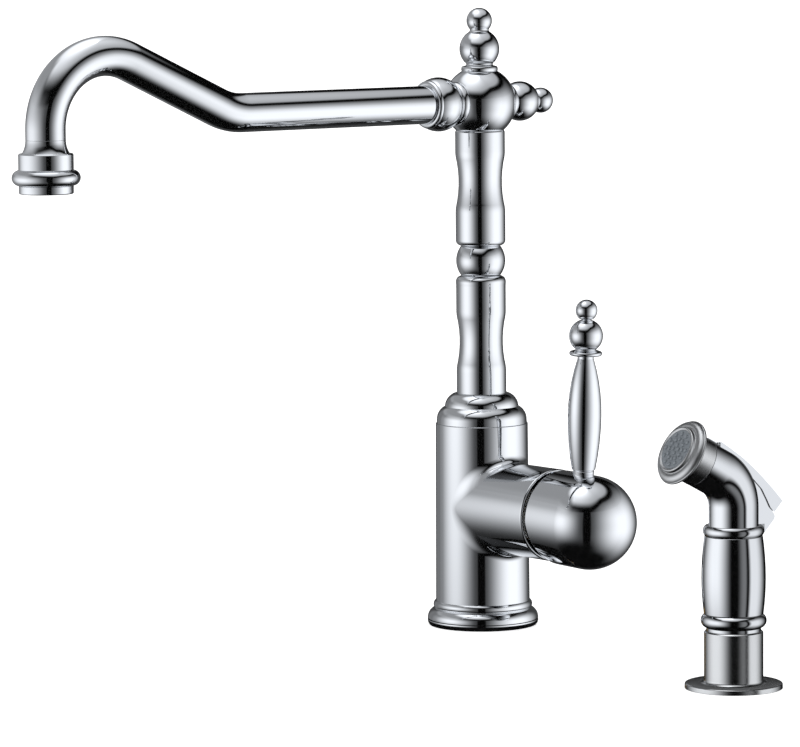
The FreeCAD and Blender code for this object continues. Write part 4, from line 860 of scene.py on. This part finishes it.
for piece, rider in ((housing, "wand"), (lug, "wand"), (cheeks[0], "spray_trigger"),
                     (cheeks[1], "spray_trigger")):
    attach(piece, rider)
    piece.data.materials.append(chrome)
for piece in nubs:
    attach(piece, "wand")
print("pieces", len(stand_for) + len(cheeks) + 2 + len(nubs))

# %% [markdown]
# ## Camera
#
# The picture was taken from about two and a half metres with a long lens. Its
# place was worked out from the outlines.

# %%
picture_px, sensor_mm, focal_px = 800, 36.0, 4506.603
camera_at = Vector((1961.136, -1604.293, 402.0))
yaw, pitch, roll_angle = (math.radians(a) for a in (51.75612, 5.83559, -0.47056))
right = Vector((math.cos(yaw), math.sin(yaw), 0))
ahead = Vector((-math.sin(yaw), math.cos(yaw), 0))
forward = ahead * math.cos(pitch) - Vector((0, 0, 1)) * math.sin(pitch)
up = right.cross(forward)
camera_x = right * math.cos(roll_angle) + up * math.sin(roll_angle)
camera_y = up * math.cos(roll_angle) - right * math.sin(roll_angle)
lens = bpy.data.cameras.new("camera")
lens.sensor_width = sensor_mm
lens.lens = focal_px / picture_px * sensor_mm
lens.clip_end = 100.0
camera = bpy.data.objects.new("camera", lens)
turn = Matrix((camera_x, camera_y, -forward)).transposed().to_4x4()
camera.matrix_world = Matrix.Translation(camera_at * MM) @ turn
bpy.context.scene.collection.objects.link(camera)
bpy.context.scene.camera = camera
bpy.context.scene.view_settings.view_transform = "Standard"
print("camera", [round(v) for v in camera_at], "mm, lens", round(lens.lens), "mm")

# %% [markdown]
# ## Light
#
# Polished metal shows the studio, not itself. Two soft walls stand left and right of
# the object, a soft ceiling hangs above, and a dark slot lies between them where the
# camera looks through. They are drawn on a ball of light about as near as a real soft
# box, so that a high piece and a low piece see them at different angles. Only
# reflections see the ball, and a dark room stands behind it.
#
# The photograph shows the hand spray under other lights than the faucet, and neither
# is seen in the other. So each has its own ball of light, linked to its pieces alone,
# and the spray is left out of reflections. The world is white for the camera and for
# glossy and transmission rays, but the metal sees the balls and the dark room in
# front of it. A pale floor keeps a faint shadow.

# %%
world = bpy.data.worlds.new("white_studio")
bpy.context.scene.world = world
world.use_nodes = True
background = world.node_tree.nodes["Background"]
background.inputs["Color"].default_value = (1, 1, 1, 1)
path = node(world, "ShaderNodeLightPath")
seen = node(world, "ShaderNodeMath", [(path.outputs["Is Camera Ray"], 0),
                                      (path.outputs["Is Glossy Ray"], 1)],
            operation="MAXIMUM")
also = node(world, "ShaderNodeMath", [(seen.outputs[0], 0),
                                      (path.outputs["Is Transmission Ray"], 1)],
            operation="MAXIMUM")
strength = node(world, "ShaderNodeMapRange", [(also.outputs[0], "Value")], To_Min=0.9, To_Max=1.0)
world.node_tree.links.new(strength.outputs["Result"], background.inputs["Strength"])


def staged(name, points, faces, material, gloss_only=True):
    """Stage object from points in metres, which only reflections see if asked."""
    mesh = bpy.data.meshes.new(name)
    mesh.from_pydata(points, [], faces)
    mesh.materials.append(material)
    item = bpy.data.objects.new(name, mesh)
    bpy.context.scene.collection.objects.link(item)
    for ray in ("camera", "diffuse", "transmission", "shadow") if gloss_only else ("glossy",):
        setattr(item, "visible_" + ray, False)
    return item


def math_node(operation, *values):
    """Math node whose inputs are numbers or sockets."""
    item = paint.node_tree.nodes.new("ShaderNodeMath")
    item.operation = operation
    for slot, value in enumerate(values):
        if isinstance(value, (int, float)):
            item.inputs[slot].default_value = value
        else:
            paint.node_tree.links.new(value, item.inputs[slot])
    return item.outputs[0]


def fade(value, start, end):
    """Smooth step of a socket from 0 at start to 1 at end."""
    item = node(paint, "ShaderNodeMapRange", [(value, "Value")], interpolation_type="SMOOTHSTEP",
                From_Min=min(start, end), From_Max=max(start, end),
                To_Min=float(start >= end), To_Max=float(start < end))
    return item.outputs["Result"]


def times(*values):
    return functools.reduce(lambda a, b: math_node("MULTIPLY", a, b), values)


def plus(*values):
    return functools.reduce(lambda a, b: math_node("ADD", a, b), values)


def ceiling_light(turn_deg, lift_deg):
    """Soft ceiling, brighter on the left, and how far a point lies above its dark edge."""
    on_right, on_left = fade(turn_deg, 0, 50), fade(turn_deg, -45, -75)
    edge_deg = plus(30.0, times(on_right, 18.0), times(on_left, 16.0))
    above = math_node("SUBTRACT", lift_deg, edge_deg)
    width = plus(20.0, times(on_right, -11.0), times(on_left, -8.0))
    edge = fade(math_node("DIVIDE", above, width), 0.05, 1.0)
    leftward = times(fade(turn_deg, 45, -70), fade(turn_deg, -178, -140))
    level = plus(0.29, times(fade(lift_deg, 30, 110), 0.74))
    return times(edge, level, plus(1.0, times(leftward, 1.3))), above


def faucet_glow(turn_deg, lift_deg):
    """Two soft walls, a dim room and the ceiling, as the faucet sees them."""
    ceiling, above = ceiling_light(turn_deg, lift_deg)
    right_box = times(fade(turn_deg, 2, 72), fade(turn_deg, 150, 85),
                      fade(lift_deg, 52, -2), fade(lift_deg, -72, -20), 1.22)
    left_box = times(fade(turn_deg, -14, -70), fade(turn_deg, -136, -74),
                     fade(lift_deg, 36, -2), fade(lift_deg, -50, -4), 1.17)
    left_fill = times(fade(turn_deg, -42, -72), fade(turn_deg, -178, -150),
                      fade(lift_deg, 12, 28), fade(lift_deg, 56, 46), 0.34)
    back_fill = times(fade(turn_deg, -112, -128), fade(turn_deg, -165, -148),
                      fade(lift_deg, -40, -26), fade(lift_deg, 30, 20), 0.14)
    slot_gap = plus(fade(turn_deg, -11, -15), fade(turn_deg, 3, 7))
    room = times(slot_gap, fade(lift_deg, 24, 20), fade(lift_deg, -58, -30), 0.06)
    return plus(times(right_box, fade(above, -3, -10)), left_box, left_fill, back_fill, room,
                ceiling)


def spray_glow(turn_deg, lift_deg):
    """The hand spray has a wide wall on the left and a hard-edged box on the right."""
    ceiling, above = ceiling_light(turn_deg, lift_deg)
    right_box = times(fade(turn_deg, 49, 64), fade(turn_deg, 142, 84),
                      fade(lift_deg, 52, 4), fade(lift_deg, -72, -20), 0.97)
    left_box = times(fade(turn_deg, -10, -68), fade(turn_deg, -154, -84),
                     fade(lift_deg, 44, 2), fade(lift_deg, -60, -8), 1.17)
    glimmer = times(fade(turn_deg, 8, 34), fade(turn_deg, 48, 38),
                    fade(lift_deg, 40, 10), fade(lift_deg, -60, -30), 0.21)
    ahead_of_it = times(fade(turn_deg, 108, 64), fade(turn_deg, -172, -140))
    behind = times(plus(fade(turn_deg, 138, 158), fade(turn_deg, -138, -158)),
                   fade(lift_deg, -2, 4), fade(lift_deg, 32, 12), 0.14)
    return plus(times(right_box, fade(above, -3, -10)), left_box, glimmer, behind,
                times(ceiling, ahead_of_it))


def hang_tent(name, centre, radius, glow_of, lit):
    """Ball of light round some objects that only their reflections see."""
    global paint
    paint = bpy.data.materials.new(name + "_paint")
    paint.use_nodes = True
    paint.node_tree.nodes.clear()
    ring_n, row_n = 96, 48
    points = [(radius * math.sin(math.pi * i / row_n) * math.cos(2 * math.pi * k / ring_n),
               radius * math.sin(math.pi * i / row_n) * math.sin(2 * math.pi * k / ring_n),
               radius * math.cos(math.pi * i / row_n))
              for i in range(row_n + 1) for k in range(ring_n)]
    where = node(paint, "ShaderNodeTexCoord")
    centred = node(paint, "ShaderNodeVectorMath", [(where.outputs["Object"], 0)])
    centred.inputs[1].default_value = -centre
    way = node(paint, "ShaderNodeVectorMath", [(centred.outputs[0], 0)], operation="NORMALIZE")

    def along(vector):
        item = node(paint, "ShaderNodeVectorMath", [(way.outputs[0], 0)],
                    operation="DOT_PRODUCT")
        item.inputs[1].default_value = vector
        return item.outputs["Value"]

    turn_deg = times(math_node("ARCTAN2", along(right), along(-ahead)), 180 / math.pi)
    lift_deg = times(math_node("ARCSINE", along((0, 0, 1))), 180 / math.pi)
    emission = node(paint, "ShaderNodeEmission", [(glow_of(turn_deg, lift_deg), "Strength")],
                    Color=linear("FAFCFF"))
    clear = node(paint, "ShaderNodeBsdfTransparent")
    both = node(paint, "ShaderNodeAddShader", [(emission.outputs[0], 0), (clear.outputs[0], 1)])
    node(paint, "ShaderNodeOutputMaterial", [(both.outputs[0], "Surface")])
    paint.cycles.emission_sampling = "NONE"
    tent = staged(name, [tuple(Vector(p) + centre) for p in points],
                  grid_faces(0, row_n + 1, ring_n, True), paint)
    tent.data.shade_smooth()
    receivers = bpy.data.collections.new(name + "_lights")
    for item in lit:
        receivers.objects.link(item)
    tent.light_linking.receiver_collection = receivers
    print(name, "lights", len(lit), "objects")


spray_nodes = [name for name in frame["nodes"]
               if body_of_node[name] in ("wand", "spray_trigger", "spray_valve", "hose_end")
               or name in ("spray_holder", "holder_liner", "spray_gasket", "spray_shank",
                           "spray_washer", "spray_nut")]
spray_things = [frame["nodes"][name] for name in spray_nodes] + cheeks + [housing, lug] + nubs
spray_things += [piece for piece, *nodes in stand_for if nodes[0] in spray_nodes]
faucet_things = [item for name, item in frame["nodes"].items() if name not in spray_nodes]
faucet_things += [piece for piece, *nodes in stand_for if nodes[0] not in spray_nodes]
for item in spray_things:
    item.visible_glossy = False
room_half, disc_r, floor_half = 1.6, 0.046, 40
hang_tent("faucet_tent", Vector((0, 0, 0.18)), 0.8, faucet_glow, faucet_things)
hang_tent("spray_tent", spray_place * MM + Vector((0, 0, 0.09)), 0.5, spray_glow, spray_things)

# Black of the dark room round the lights, and of the disc of painted shade under the foot.
black_room_and_shade = new_material("black_room_and_shade", "060606", 0.0, 0.95)[0]
staged("dark_room", [tuple(Vector((x, y, z)) * room_half) for x in (-1, 1) for y in (-1, 1)
                     for z in (-1, 1)],
       [(0, 1, 3, 2), (4, 6, 7, 5), (0, 4, 5, 1), (2, 3, 7, 6), (0, 2, 6, 4), (1, 5, 7, 3)],
       black_room_and_shade)
# A black disc round the foot that only reflections see. It is painted shade: the foot ring's lower
# edge reflects it as the dark floor round the foot. It also keeps the brass under the deck out of
# those reflections.
staged("painted_shade_under_foot", [(disc_r * math.cos(a), disc_r * math.sin(a), -0.0004)
                           for a in (math.pi * k / 24 for k in range(48))],
       [tuple(range(48))], black_room_and_shade)
floor_paint, floor_shader = new_material("white_sweep", "FFFFFF", 0.0, 0.9)
floor_shader.inputs["Emission Color"].default_value = (1, 1, 1, 1)
floor_shader.inputs["Emission Strength"].default_value = 0.55
floor_shader.inputs["Specular IOR Level"].default_value = 0.0
staged("floor", [(-floor_half, -floor_half, 0), (floor_half, -floor_half, 0),
                 (floor_half, floor_half, 0), (-floor_half, floor_half, 0)],
       [(0, 1, 2, 3)], floor_paint, gloss_only=False)

# %%
bpy.context.view_layer.update()
